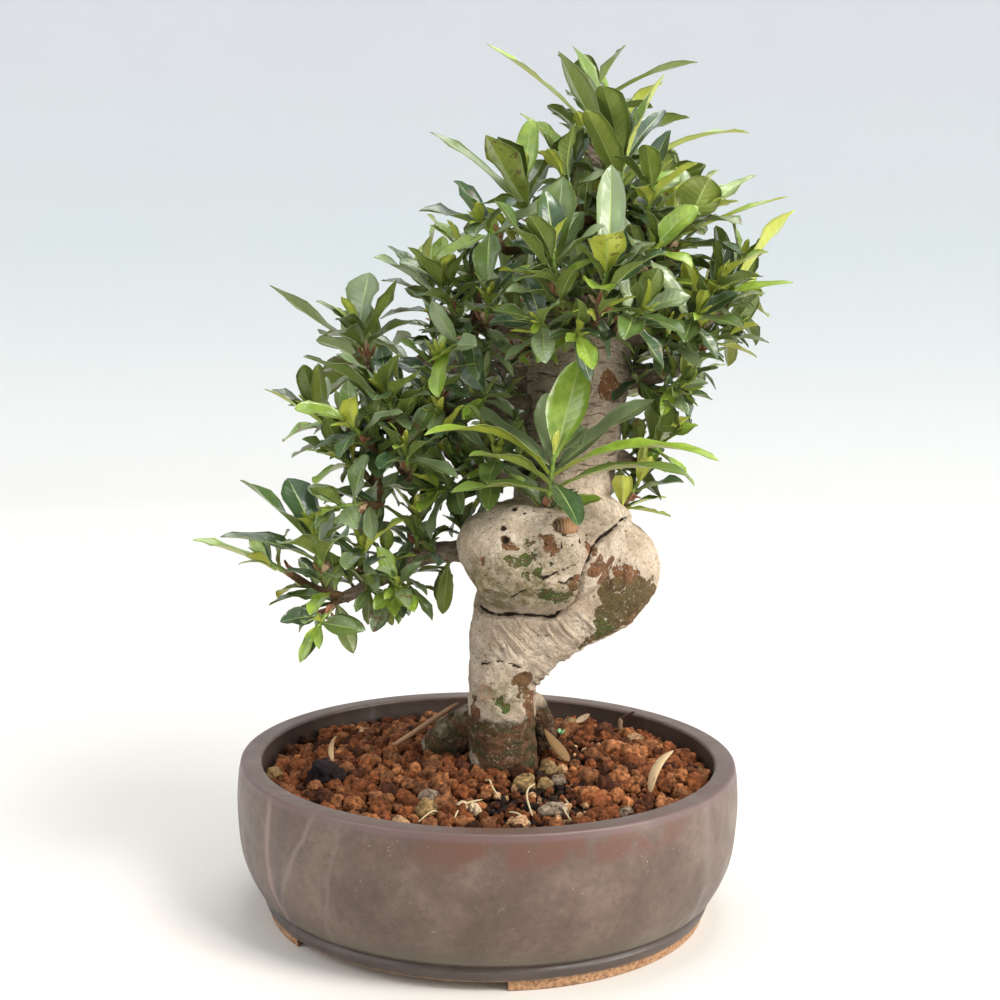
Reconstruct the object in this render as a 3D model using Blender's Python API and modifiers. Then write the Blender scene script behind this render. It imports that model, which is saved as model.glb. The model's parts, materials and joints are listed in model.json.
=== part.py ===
"""Gardenia bonsai in a round glazed pot: pot, drain screen, soil, trunk and leafy shoots.

Metres, +Z up. The origin is the middle of the pot's foot on the surface it stands on.
-Y is the front of the tree. Tables of places are in millimetres.
"""
import math
import random

import bmesh
import bpy
from mathutils import Matrix, Vector, geometry, noise
from mathutils.bvhtree import BVHTree

MM = 0.001
GAP = 0.3                  # between pieces that touch
SEED = 11

# Pot
POT_SIDES = 36
RIM_RADIUS = 109.6
POT_HEIGHT = 68.0
RIM_WIDTH = 9.0
RIM_ROUND = 1.2
FLOOR_UNDER = 4.2          # height of the pot's underside, which is its feet's height
FLOOR_TOP = 11.5
FOOT_WIDTH = 10.0
FOOT_RADIUS = 97.2
FOOT_GAP_CENTRES = (-114.0, 66.0)    # degrees round the pot
FOOT_GAP_WIDTH = 96.0
DRAIN_RADIUS = 13.0
# outer wall below the rim: belly, groove and the raised lip over the feet
POT_WALL = [(111.0, 50), (109.6, 32), (106.6, 22), (102.2, 13.5), (98.6, 10.2), (99.4, 8.4),
            (98.6, 5.2)]
# inner wall from the rim down to the floor
POT_INSIDE = [(100.4, 66.8), (100.6, 57.5), (98.0, 25), (88.0, FLOOR_TOP)]

# Drain screen, laid over the drain hole
SCREEN_SIZE = 38.0
SCREEN_THICK = 1.2
SCREEN_HOLES = 3
SCREEN_HOLE = 7.0
SCREEN_PITCH = 10.5

# Soil
SOIL_EDGE_Z = 57.5
SOIL_MOUND = 8.5           # how far the soil rises towards the trunk
SOIL_BOTTOM = FLOOR_TOP + SCREEN_THICK + 2 * GAP
GRANULE_PITCH = 9.0        # between the points of the relief, three of which make a granule
GRANULE_HEIGHT = 4.2
GRANULE_JITTER = 2.0
SOIL_TOP = SOIL_EDGE_Z + SOIL_MOUND + GRANULE_HEIGHT
SOIL_MIDDLE = (8, -6)
SOIL_SLOPE = 95.0          # the mound falls to nothing this far from its middle
TRUNK_HOLE_GAP = 3 * GAP

# Trunk: thick limbs as (x, y, z, radius)
LIMBS = {
    "column": [(7, -5, 32, 14), (7, -7, 52, 16.5), (6, -8, 70, 15.6), (6, -7, 90, 15),
               (6.5, -7, 110, 15.8), (12, -5, 134, 19.2), (17, -1, 152, 16)],
    "elbow": [(12, -8, 105, 10), (20, -7, 120.5, 14.2), (34, -4, 134, 19), (52, 3, 147.5, 21.5),
              (52, 5, 156, 21.5), (44, 8, 168, 14)],
    "bulb": [(-10, -14, 157, 9.5), (-5, -15, 159, 18), (7, -17, 160, 24.5), (25, -18, 161, 24),
             (40, -11, 166, 19.5), (52, -4, 171, 11)],
    "upper": [(19, 0, 136, 12), (26, 2, 158, 18), (31, 6, 184, 21.5), (34, 13, 205, 22), (36.5, 15, 225, 22.5),
              (38.5, 15, 242, 23), (41, 13, 256, 20), (45, 11, 270, 15), (49, 9, 284, 10.5)],
    "shoulder": [(-2, -12, 167, 12), (12, -14, 171, 15), (29, -11, 173, 16), (45, -3, 173, 14),
                 (56, 4, 169, 10)],
    "collar": [(24, 10, 247, 8), (10, 5, 249, 7.8), (1.5, 1, 249, 6.4)],
    "left_root": [(4, 2, 84, 8), (-8, 11, 77, 10), (-20, 18, 67, 9.5), (-31, 24, 54, 6)],
    "rear_root": [(11, 2, 92, 7), (19, 8, 88, 6.8), (24, 14, 77, 6.2), (28, 19, 58, 5.4)],
}
LIMB_VOXEL = 2.4
LIMB_TRIANGLES = {"column": 290, "elbow": 260, "bulb": 300, "upper": 320, "shoulder": 140}
SMALL_LIMB_TRIANGLES = 70
BARK_SWELL = 1.0           # slow swellings of the bark
BARK_SCALE = 15.0

# Branches as (x, y, z, radius), each starting inside the wood that carries it
BRANCHES = {
    "leader": [(49, 9, 280, 8.5), (50, 7, 294, 6.5), (52, 1, 309, 4)],
    "crown_rear": [(49, 10, 288, 5.5), (52, 32, 300, 4), (56, 50, 308, 2.8)],
    "crown_back": [(50, 8, 292, 5), (46, 20, 318, 3.6), (41, 29, 337, 2.6)],
    "crown_left": [(47, 10, 280, 7), (30, 3, 288, 5), (19, -4, 292, 3)],
    "mid_front": [(40, 8, 262, 7), (36, -16, 266, 5), (33, -36, 267, 3.2)],
    "up_right": [(50, 10, 266, 7), (66, 3, 279, 4.6), (76, -4, 287, 3)],
    "right": [(54, 12, 256, 7.5), (76, 8, 259, 5.2), (91, 4, 262, 3.8), (99, 5, 266, 2.8)],
    "right_low": [(54, 13, 236, 6.5), (73, 9, 238, 4.4), (89, 6, 246, 2.8)],
    "right_back": [(52, 22, 252, 7), (74, 42, 262, 4.4), (88, 56, 268, 2.8)],
    "right_elbow": [(50, 13, 203, 6), (57, 10, 200, 4), (62, 8, 198, 2.8)],
    "left_high": [(26, 10, 252, 7), (2, 0, 258, 5), (-13, -8, 258, 3.2)],
    "inner": [(22, 4, 190, 7), (6, -4, 195, 4.6), (-8, -8, 195, 2.8)],
    "left": [(24, 12, 222, 7.5), (4, 5, 221, 5), (-8, 0, 223, 4.4), (-23, -5, 217, 4.2),
             (-37, -12, 208, 3.4), (-50, -12, 199, 2.6)],
    "left_fork": [(-24, -6, 216, 3.6), (-46, -9, 219, 3.2), (-62, -3, 211, 2.4)],
    "left_back": [(28, 24, 230, 7), (-8, 44, 238, 4.8), (-36, 56, 240, 3)],
    "back": [(40, 26, 242, 8), (38, 52, 252, 5), (35, 72, 256, 3)],
    "back_low": [(32, 24, 204, 7), (20, 48, 204, 4.4), (6, 62, 207, 2.8)],
    "low_left": [(8, -8, 161, 5.6), (-28, -6, 158, 4.3), (-49, -15, 148, 3.2), (-62, -24, 142, 2.5)],
    "stub": [(24, -15, 170, 6), (24, -20, 175.5, 5), (24, -22, 178, 4)],
    "knot": [(47, 2, 166, 6), (54, 1, 172, 4), (57, 1, 176, 3)],
}
BRANCH_STEPS = 1           # curve steps between the points of a branch
BARE_SHARE = 0.4           # share of a branch without twigs
TWIG_END_SHARE = 0.42      # of a twig's length lies along the axis of its shoot
TWIG_ROOT_RADIUS = 2.6
TWIG_TIP_RADIUS = 1.6

# Leafy shoots: branch, heart (x, y, z), axis, pairs of leaves, leaf length, and the tips of
# single leaves as (x, y, z from the heart, bend in degrees, width)
SHOOTS = {
    "front_rosette": ("stub", (25, -30.5, 196.8), (0.1, -0.2, 1), 5, 40, [
        (-41, -28, -5, 25, 11), (54, -30, 4, 45, 11), (24, -28, -9, 20, 11),
        (-34, -32, 11, 30, 11), (67, -20, 9, 55, 12), (-52, -28, 18, 65, 13), (45, -10, -4, 15, 12),
        (44, 18, 31, 15, 12), (-46, 22, 28, 20, 13), (-1, 21, 33, 8, 12), (21, 19, 31, 8, 13),
        (12, 12, 48, 8, 17)]),
    "crown_top": ("leader", (53, -5, 324), (0, -0.1, 1), 4, 34, [
        (-17, -26, 22, 15, 13), (55, 9, 18, 50, 9), (-28, -20, 46, -8, 17),
        (20, 20, 28, 20, 9), (17, -2, 40, 15, 12), (-21, 4, 52, 8, 15)]),
    "crown_back": ("crown_back", (40, 32, 352), (0, 0.2, 1), 3, 28, [
        (-51, 12, 38, 15, 8), (50, 12, 25, 35, 7), (-8, 22, 12, 20, 10)]),
    "crown_left": ("crown_left", (13, -8, 311), (-0.3, -0.3, 1), 4, 28, [
        (-18, -24, -3, 30, 11), (-42, 20, 30, 20, 8), (-17, -20, 25, -10, 17),
        (22, -14, 30, 20, 8), (2, 10, 35, 10, 11)]),
    "crown_inner": ("crown_left", (-3, -21, 298), (-0.4, -0.8, 0.4), 4, 26, []),
    "top_inner": ("leader", (30, -14, 318), (-0.4, -0.5, 0.8), 3, 25, []),
    "crown_mid": ("crown_left", (33, 6, 322), (-0.2, -0.2, 1), 3, 26, [
        (-13, -33, -4, 30, 12), (-23, 10, 28, 25, 8)]),
    "mid_front_a": ("mid_front", (24, -48, 282), (-0.2, -0.5, 1), 4, 28, [
        (-16, -22, -6, 30, 11), (-24, -14, 25, -8, 18), (3, 2, 36, 8, 17)]),
    "mid_front_b": ("mid_front", (44, -50, 276), (0.2, -0.5, 1), 4, 30, [
        (22, -22, 12, 30, 11), (34, -4, 24, 15, 17), (-20, -18, 28, 10, 14),
        (10, 13, 31, 10, 12), (2, 6, 47, 6, 12)]),
    "crown_right": ("up_right", (65, -12, 312), (0.1, -0.4, 1), 4, 27, []),
    "crown_face": ("up_right", (64, -24, 288), (0.2, -0.9, 0.3), 3, 24, []),
    "right_a": ("up_right", (80, -8, 300), (0.6, -0.3, 1), 4, 28, [
        (-14, -22, 9, 20, 12), (43, -2, 14, 10, 6), (10, -14, 22, -6, 19), (32, 14, 24, 10, 12)]),
    "right_far": ("right", (105, 3, 281), (0.3, 0, 1), 3, 24, [
        (22, -8, 28, 10, 14), (2, -26, 16, 20, 14)]),
    "right_b": ("right", (93, -6, 274), (0.4, -0.5, 0.9), 3, 26, [
        (34, -3, 4, 15, 7), (17, -24, 6, 30, 13), (0, -4, 30, 10, 9)]),
    "right_face": ("right", (84, -14, 262), (0.3, -0.8, 0.3), 3, 22, []),
    "right_inner": ("right_low", (73, -8, 254), (0.1, -0.7, 0.6), 3, 22, []),
    "right_low_a": ("right_low", (98, 4, 254), (0.9, -0.2, 0.4), 3, 20, [
        (16, -6, -8, 25, 7), (4, -8, -19, 20, 8)]),
    "right_low_b": ("right_low", (77, -1, 231), (0.7, -0.5, 0.1), 3, 20, [
        (17, -10, -3, 25, 9), (9, 0, -14, 20, 8)]),
    "right_low_c": ("right_elbow", (73, 3, 208), (0.7, -0.3, 0.7), 3, 22, [
        (1, -12, 19, 10, 16), (17, 0, 8, 20, 9)]),
    "front_skirt": ("mid_front", (20, -41, 259), (-0.3, -0.8, 0.2), 3, 22, []),
    "low_skirt": ("mid_front", (33, -42, 256), (0.2, -0.9, 0), 3, 20, []),
    "right_skirt": ("mid_front", (57, -36, 263), (0.5, -0.7, 0.3), 3, 24, []),
    "left_mid": ("left_high", (-21, -15, 272), (-0.4, -0.4, 1), 4, 26, [
        (-10, -25, -2, 30, 11), (-29, -11, 14, 20, 14), (9, -7, 22, 10, 15),
        (-15, -12, 18, 10, 15), (-8, 12, 35, 10, 8)]),
    "left_in": ("left_high", (-3, -18, 266), (0.1, -0.8, 0.6), 3, 22, []),
    "left_rise": ("left_high", (-13, -6, 286), (-0.3, 0.1, 0.9), 3, 24, []),
    "left_under": ("left_high", (-17, -21, 249), (-0.5, -0.6, -0.3), 3, 22, []),
    "left_top": ("left_fork", (-57, -8, 252), (-0.3, -0.2, 1), 3, 26, [
        (-37, -12, 22, -15, 12), (-13, -27, 2, 30, 15), (16, -12, 25, -25, 9),
        (3, 6, 28, 5, 17)]),
    "left_light": ("left_fork", (-74, 0, 216), (-0.7, -0.2, 0.8), 3, 24, [
        (-24, -10, 14, 10, 6), (-1, -10, 25, 10, 8)]),
    "left_mid_a": ("left", (-44, -24, 226), (-0.4, -0.6, 0.9), 3, 24, [
        (-33, -20, 19, 25, 14), (14, -18, 13, 20, 12)]),
    "left_mid_b": ("left", (-61, -12, 198), (-0.7, -0.4, 0.6), 3, 24, [
        (-20, -6, 11, 20, 12), (8, -10, 26, 10, 14)]),
    "left_mid_c": ("left", (-36, -30, 204), (0, -0.8, 0.7), 3, 22, [
        (-10, -16, 14, 20, 13), (16, -18, 10, 20, 11)]),
    "left_inner": ("left", (-23, -18, 237), (0, -0.5, 0.9), 4, 24, []),
    "left_front": ("left", (-57, -30, 214), (-0.4, -0.7, 0.5), 3, 21, []),
    "inner_side": ("inner", (-16, -10, 189), (-0.7, -0.4, -0.1), 4, 26, []),
    "inner_face": ("inner", (2, -23, 202), (0.1, -0.8, 0.6), 3, 25, []),
    "inner_top": ("inner", (-20, -14, 209), (-0.4, -0.4, 0.9), 4, 25, []),
    "left_stem": ("left", (-60, -36, 183), (-0.6, -0.7, 0), 3, 22, [
        (9, -4, 22, 15, 12)]),
    "low_left": ("low_left", (-72, -38, 165), (-0.2, -0.3, 1), 4, 34, [
        (15, -28, 10, 35, 13), (-39, -8, 6, 25, 13), (31, -12, 28, 15, 15),
        (-30, -12, 30, 12, 14), (18, 4, 39, 12, 14), (-10, 9, 33, 8, 15)]),
    "low_left_tip": ("low_left", (-93, -16, 154), (-0.9, 0, 0.5), 2, 20, [
        (-35, -1, 11, 15, 10)]),
    "twig_tip": ("low_left", (-70, -36, 135), (-0.3, -0.6, -0.4), 2, 17, [
        (-17, -7, 0, 20, 9), (16, -11, -2, 20, 8)]),
    "small_low": ("low_left", (-40, -24, 147), (0.1, -0.7, 0.1), 3, 18, [
        (8, -14, -8, 20, 9), (13, -5, -6, 20, 8)]),
    "low_inner": ("low_left", (-55, -24, 160), (0.1, -0.6, 0.7), 3, 25, []),
    "low_mid": ("low_left", (-32, -12, 171), (0, -0.3, 1), 3, 22, [
        (-14, -13, 11, 20, 9), (17, -8, 8, 20, 9), (1, -8, 28, 5, 11)]),
    "right_bulb": ("knot", (63, 0, 189), (0.5, -0.2, 0.9), 2, 20, [
        (20, -8, 3, 20, 11)]),
}
WHOLE_BY_HAND = ("front_rosette",)    # shoots that bear no leaves but those placed by hand
# More shoots along the branches: branch and how many
FILLS = [("crown_rear", 2), ("right_back", 2), ("left_back", 2), ("back", 3), ("back_low", 2)]
FOLIAGE_REACH = (128.5, 108, 383)     # no leaf goes further out or up
FILL_START = 0.5           # share of the branch that stays bare
FILL_TWIG = 20.0
FILL_PAIRS = 5
FILL_LEAF = 30.0
GOLDEN_ANGLE = math.radians(137.5)

# Stems and blades
STEM_RADIUS = 1.7
STEM_FOOT = 5.0            # bare stem below the first leaves
NODE_PITCH = 3.6           # height of stem that one pair of leaves takes
BUD_LENGTH = 9.0
BLADE_THICK = 1.3
BLADE_WIDTH = 0.4          # of its length
BLADE_FOLD = 0.34          # how steeply the halves rise from the midrib
BLADE_WAVE = 0.10          # height of the edge's waves, of its width
LONG_BLADE = 31.0          # a longer blade has three sections, a shorter one two
LONG_STATIONS = (0.27, 0.56, 0.82)
SHORT_STATIONS = (0.4, 0.76)
TEST_START = 0.1           # its root is left out where a blade is tested against its own shoot
CLEARANCE = 0.7
STEM_CLEARANCE = 1.0
DRAWS = 14

COLOURS = {
    "glaze": ((0.09, 0.075, 0.075, 1), 0.4),
    "screen": ((0.03, 0.03, 0.03, 1), 0.6),
    "soil": ((0.27, 0.09, 0.035, 1), 0.9),
    "bark": ((0.42, 0.34, 0.25, 1), 0.85),
    "leaf": ((0.055, 0.13, 0.035, 1), 0.35),
}


def reset_scene():
    for thing in list(bpy.data.objects):
        bpy.data.objects.remove(thing, do_unlink=True)


def new_collection(name):
    collection = bpy.data.collections.new(name)
    bpy.context.scene.collection.children.link(collection)
    return collection


def new_material(name):
    colour, roughness = COLOURS[name]
    material = bpy.data.materials.new(name)
    material.use_nodes = True
    shader = material.node_tree.nodes["Principled BSDF"]
    shader.inputs["Base Color"].default_value = colour
    shader.inputs["Roughness"].default_value = roughness
    shader.inputs["Metallic"].default_value = 0.0
    return material


def add_object(name, mesh, collection, material=None):
    thing = bpy.data.objects.new(name, mesh)
    collection.objects.link(thing)
    if material:
        mesh.materials.clear()
        mesh.materials.append(material)
    return thing


def mesh_from(name, bm):
    bmesh.ops.recalc_face_normals(bm, faces=bm.faces[:])
    mesh = bpy.data.meshes.new(name)
    bm.to_mesh(mesh)
    bm.free()
    return mesh


def evaluated_mesh(thing):
    depsgraph = bpy.context.evaluated_depsgraph_get()
    return bpy.data.meshes.new_from_object(thing.evaluated_get(depsgraph))


def apply_modifiers(thing):
    mesh = evaluated_mesh(thing)
    thing.modifiers.clear()
    thing.data = mesh


def boolean(thing, operation, collection, solver="EXACT"):
    modifier = thing.modifiers.new(operation.lower(), "BOOLEAN")
    modifier.operation = operation
    modifier.operand_type = "COLLECTION"
    modifier.collection = collection
    modifier.solver = solver
    apply_modifiers(thing)


def empty_collection(collection):
    for thing in list(collection.objects):
        bpy.data.objects.remove(thing, do_unlink=True)


def hide_cutter(thing):
    thing.hide_render = True
    thing.display_type = "WIRE"


def round_shading(mesh, degrees):
    mesh.shade_smooth()
    mesh.set_sharp_from_angle(angle=math.radians(degrees))


# Pot, screen and soil

def turned(name, outline, collection, material=None):
    """Turns a closed outline of (radius, height), outer side running down."""
    mesh = bpy.data.meshes.new(name)
    points = [(r * MM, 0.0, z * MM) for r, z in outline]
    edges = [(i, (i + 1) % len(points)) for i in range(len(points))]
    mesh.from_pydata(points, edges, [])
    thing = add_object(name, mesh, collection, material)
    screw = thing.modifiers.new("turn", "SCREW")
    screw.steps = POT_SIDES
    screw.render_steps = POT_SIDES
    screw.use_merge_vertices = True
    screw.merge_threshold = 0.00005
    apply_modifiers(thing)
    return thing


def make_pot(collection, cutters, material):
    rim = [(RIM_RADIUS, POT_HEIGHT - RIM_ROUND), (RIM_RADIUS + 0.7, POT_HEIGHT - 4 * RIM_ROUND)]
    foot = [(FOOT_RADIUS, FLOOR_UNDER), (FOOT_RADIUS - 0.6, 0.0),
            (FOOT_RADIUS - FOOT_WIDTH, 0.0), (FOOT_RADIUS - FOOT_WIDTH - 0.6, FLOOR_UNDER)]
    floor = [(DRAIN_RADIUS, FLOOR_UNDER), (DRAIN_RADIUS, FLOOR_TOP)]
    top = [(RIM_RADIUS - RIM_WIDTH + RIM_ROUND, POT_HEIGHT), (RIM_RADIUS - RIM_ROUND, POT_HEIGHT)]
    outline = rim + POT_WALL + foot + floor + POT_INSIDE[::-1] + top
    pot = turned("pot", outline, collection, material)
    for degrees in FOOT_GAP_CENTRES:
        bpy.ops.mesh.primitive_cube_add(size=1.0)
        cutter = bpy.context.object
        cutter.name = "foot_gap"
        length = 2.5 * FOOT_WIDTH * MM
        depth = FLOOR_UNDER * MM
        turn = Matrix.Rotation(math.radians(degrees), 4, "Z")
        place = Matrix.Translation(((FOOT_RADIUS - FOOT_WIDTH) * MM, 0, -0.02 * MM))
        size = Matrix.Diagonal((2 * length, FOOT_GAP_WIDTH * MM, 2 * depth, 1))
        cutter.data.transform(turn @ place @ size)
        bpy.context.collection.objects.unlink(cutter)
        cutters.objects.link(cutter)
        hide_cutter(cutter)
    boolean(pot, "DIFFERENCE", cutters)
    empty_collection(cutters)
    round_shading(pot.data, 40)
    return pot


def make_screen(collection, cutters, material):
    """A square of mesh with a few square holes, lying on the pot's floor."""
    bm = bmesh.new()
    middle = (FLOOR_TOP + GAP + SCREEN_THICK / 2) * MM
    size = Matrix.Diagonal((SCREEN_SIZE * MM, SCREEN_SIZE * MM, SCREEN_THICK * MM, 1))
    bmesh.ops.create_cube(bm, size=1.0, matrix=Matrix.Translation((0, 0, middle)) @ size)
    screen = add_object("drain_screen", mesh_from("drain_screen", bm), collection, material)
    bm = bmesh.new()
    hole = Matrix.Diagonal((SCREEN_HOLE * MM, SCREEN_HOLE * MM, 4 * SCREEN_THICK * MM, 1))
    for column in range(SCREEN_HOLES):
        for row in range(SCREEN_HOLES):
            x = (column - (SCREEN_HOLES - 1) / 2) * SCREEN_PITCH * MM
            y = (row - (SCREEN_HOLES - 1) / 2) * SCREEN_PITCH * MM
            bmesh.ops.create_cube(bm, size=1.0, matrix=Matrix.Translation((x, y, middle)) @ hole)
    hide_cutter(add_object("screen_holes", mesh_from("screen_holes", bm), cutters))
    boolean(screen, "DIFFERENCE", cutters)
    empty_collection(cutters)
    return screen


def soil_height(x, y):
    """Smooth level of the soil: a low mound round the foot of the trunk."""
    distance = math.hypot(x - SOIL_MIDDLE[0], y - SOIL_MIDDLE[1]) / SOIL_SLOPE
    return SOIL_EDGE_Z + SOIL_MOUND * max(0.0, 1 - distance) ** 0.8


def soil_points(rng):
    """Points of the soil's surface: the edge, then granules and the hollows between them."""
    edge_radius = POT_INSIDE[1][0] - GAP
    points = []
    for side in range(POT_SIDES):
        angle = 2 * math.pi * side / POT_SIDES
        points.append((edge_radius * math.cos(angle), edge_radius * math.sin(angle), SOIL_EDGE_Z))
    rows = int(edge_radius / (GRANULE_PITCH * math.sin(math.pi / 3))) + 1
    for row in range(-rows, rows + 1):
        for column in range(-2 * rows, 2 * rows + 1):
            x = (column + 0.5 * row) * GRANULE_PITCH
            y = row * GRANULE_PITCH * math.sin(math.pi / 3)
            if math.hypot(x, y) > edge_radius - 0.6 * GRANULE_PITCH:
                continue
            x += rng.uniform(-GRANULE_JITTER, GRANULE_JITTER)
            y += rng.uniform(-GRANULE_JITTER, GRANULE_JITTER)
            peak = (column - row) % 3 == 0
            lift = rng.uniform(0.3, 1.0) * GRANULE_HEIGHT if peak else rng.uniform(-1.8, 1.4)
            points.append((x, y, soil_height(x, y) + lift))
    return points


def make_soil(collection, cutters, limbs, material):
    """The bed of soil, filling the pot to below its rim, with a hole that fits the trunk."""
    points = soil_points(random.Random(SEED))
    flat = [Vector((x, y)) for x, y, _ in points]
    ring = [(i, (i + 1) % POT_SIDES) for i in range(POT_SIDES)]
    _, _, faces, _, _, _ = geometry.delaunay_2d_cdt(flat, ring, [], 1, 1e-6)
    bm = bmesh.new()
    verts = [bm.verts.new((x * MM, y * MM, z * MM)) for x, y, z in points]
    for face in faces:
        bm.faces.new([verts[i] for i in face])
    edge = [e for e in bm.edges if e.is_boundary]
    for radius, z in POT_INSIDE[2:]:
        new = bmesh.ops.extrude_edge_only(bm, edges=edge)["geom"]
        edge = [e for e in new if isinstance(e, bmesh.types.BMEdge)]
        for vert in [v for v in new if isinstance(v, bmesh.types.BMVert)]:
            flat_place = Vector((vert.co.x, vert.co.y)).normalized() * (radius - GAP) * MM
            vert.co = (flat_place.x, flat_place.y, max(z, SOIL_BOTTOM) * MM)
    bmesh.ops.contextual_create(bm, geom=edge)
    bmesh.ops.triangulate(bm, faces=bm.faces[:])
    soil = add_object("soil", mesh_from("soil", bm), collection, material)
    for limb in limbs:
        if min(vert.co.z for vert in limb.data.vertices) < SOIL_TOP * MM:
            bm = bmesh.new()
            bm.from_mesh(limb.data)
            for vert in bm.verts:
                vert.co += vert.normal * TRUNK_HOLE_GAP * MM
            hide_cutter(add_object("hole_" + limb.name, mesh_from("hole", bm), cutters))
    boolean(soil, "DIFFERENCE", cutters)
    empty_collection(cutters)
    keep_largest_body(soil.data)
    return soil


def keep_largest_body(mesh):
    """Drops loose scraps that a cut leaves."""
    bm = bmesh.new()
    bm.from_mesh(mesh)
    left = set(bm.verts)
    bodies = []
    while left:
        body = {left.pop()}
        front = list(body)
        while front:
            vert = front.pop()
            for edge in vert.link_edges:
                other = edge.other_vert(vert)
                if other in left:
                    left.remove(other)
                    body.add(other)
                    front.append(other)
        bodies.append(body)
    largest = max(bodies, key=len)
    bmesh.ops.delete(bm, geom=[v for v in bm.verts if v not in largest], context="VERTS")
    bm.to_mesh(mesh)
    bm.free()


# Wood

def smooth_path(points, steps):
    """A smooth curve through (x, y, z, radius) points."""
    path = []
    for i in range(len(points) - 1):
        around = [points[max(i - 1, 0)], points[i], points[i + 1], points[min(i + 2, len(points) - 1)]]
        for step in range(steps):
            t = step / steps
            weights = (-t + 2 * t * t - t ** 3, 2 - 5 * t * t + 3 * t ** 3,
                       t + 4 * t * t - 3 * t ** 3, -t * t + t ** 3)
            path.append(tuple(sum(w * p[k] for w, p in zip(weights, around)) / 2 for k in range(4)))
    path.append(tuple(points[-1]))
    return path


def tube(name, path, resolution, collection):
    """A tube of changing radius with flat ends, as a mesh."""
    curve = bpy.data.curves.new(name, "CURVE")
    curve.dimensions = "3D"
    curve.bevel_depth = MM
    curve.bevel_resolution = resolution
    curve.use_fill_caps = True
    spline = curve.splines.new("POLY")
    spline.points.add(len(path) - 1)
    for point, (x, y, z, radius) in zip(spline.points, path):
        point.co = (x * MM, y * MM, z * MM, 1)
        point.radius = radius
    source = bpy.data.objects.new(name + "_curve", curve)
    collection.objects.link(source)
    mesh = evaluated_mesh(source)
    bpy.data.objects.remove(source, do_unlink=True)
    bm = bmesh.new()
    bm.from_mesh(mesh)
    bmesh.ops.remove_doubles(bm, verts=bm.verts[:], dist=1e-6)
    return add_object(name, mesh_from(name, bm), collection)


def rounded_ends(path):
    """Adds a short taper at both ends of a limb."""
    first, last = path[0], path[-1]
    before, after = path[1], path[-2]
    head = tuple(first[k] + 0.35 * (first[k] - before[k]) for k in range(3)) + (first[3] * 0.55,)
    tail = tuple(last[k] + 0.35 * (last[k] - after[k]) for k in range(3)) + (last[3] * 0.55,)
    return [head] + path + [tail]


def make_limb(name, collection):
    """A thick limb: a tube made one smooth skin, with slow swellings."""
    path = rounded_ends(smooth_path(LIMBS[name], 4))
    limb = tube(name, path, 4, collection)
    remesh = limb.modifiers.new("skin", "REMESH")
    remesh.mode = "VOXEL"
    remesh.voxel_size = LIMB_VOXEL * MM
    smooth = limb.modifiers.new("soften", "SMOOTH")
    smooth.factor = 0.5
    smooth.iterations = 6
    apply_modifiers(limb)
    for vert in limb.data.vertices:
        swell = noise.noise(vert.co / (BARK_SCALE * MM))
        fine = noise.noise(vert.co / (0.4 * BARK_SCALE * MM))
        vert.co += vert.normal * (BARK_SWELL * swell + 0.4 * BARK_SWELL * fine) * MM
    limb.data.calc_loop_triangles()
    thin = limb.modifiers.new("thin", "DECIMATE")
    target = LIMB_TRIANGLES.get(name, SMALL_LIMB_TRIANGLES)
    thin.ratio = min(1.0, target / len(limb.data.loop_triangles))
    apply_modifiers(limb)
    return limb


def along(path, share):
    """Point, direction and radius at a share of a path's length."""
    points = [Vector(p[:3]) for p in path]
    lengths = [(b - a).length for a, b in zip(points, points[1:])]
    left = share * sum(lengths)
    for i, length in enumerate(lengths):
        if left <= length or i == len(lengths) - 1:
            t = min(1.0, left / length)
            radius = path[i][3] + t * (path[i + 1][3] - path[i][3])
            return points[i].lerp(points[i + 1], t), (points[i + 1] - points[i]).normalized(), radius
        left -= length
    return points[-1], (points[-1] - points[-2]).normalized(), path[-1][3]


def nearest_share(path, target):
    """Where along a path, past its bare start, a twig to the target leaves it."""
    steps = 24
    shares = [BARE_SHARE + (1 - BARE_SHARE) * i / steps for i in range(steps + 1)]
    return min(shares, key=lambda share: (along(path, share)[0] - target).length)


def outside(place):
    return any(abs(place[k]) > FOLIAGE_REACH[k] for k in range(3))


def stem_start(heart, axis, pairs):
    return heart - axis * (STEM_FOOT + 0.5 * pairs * NODE_PITCH)


def twig_path(root, root_radius, start, axis):
    """A twig from its branch to the foot of a shoot, bent once to arrive along its axis."""
    knee = start - axis * TWIG_END_SHARE * (start - root).length
    knee_radius = (root_radius + 2 * TWIG_TIP_RADIUS) / 3
    return [(*root, root_radius), (*knee, knee_radius), (*start, TWIG_TIP_RADIUS)]


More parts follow.
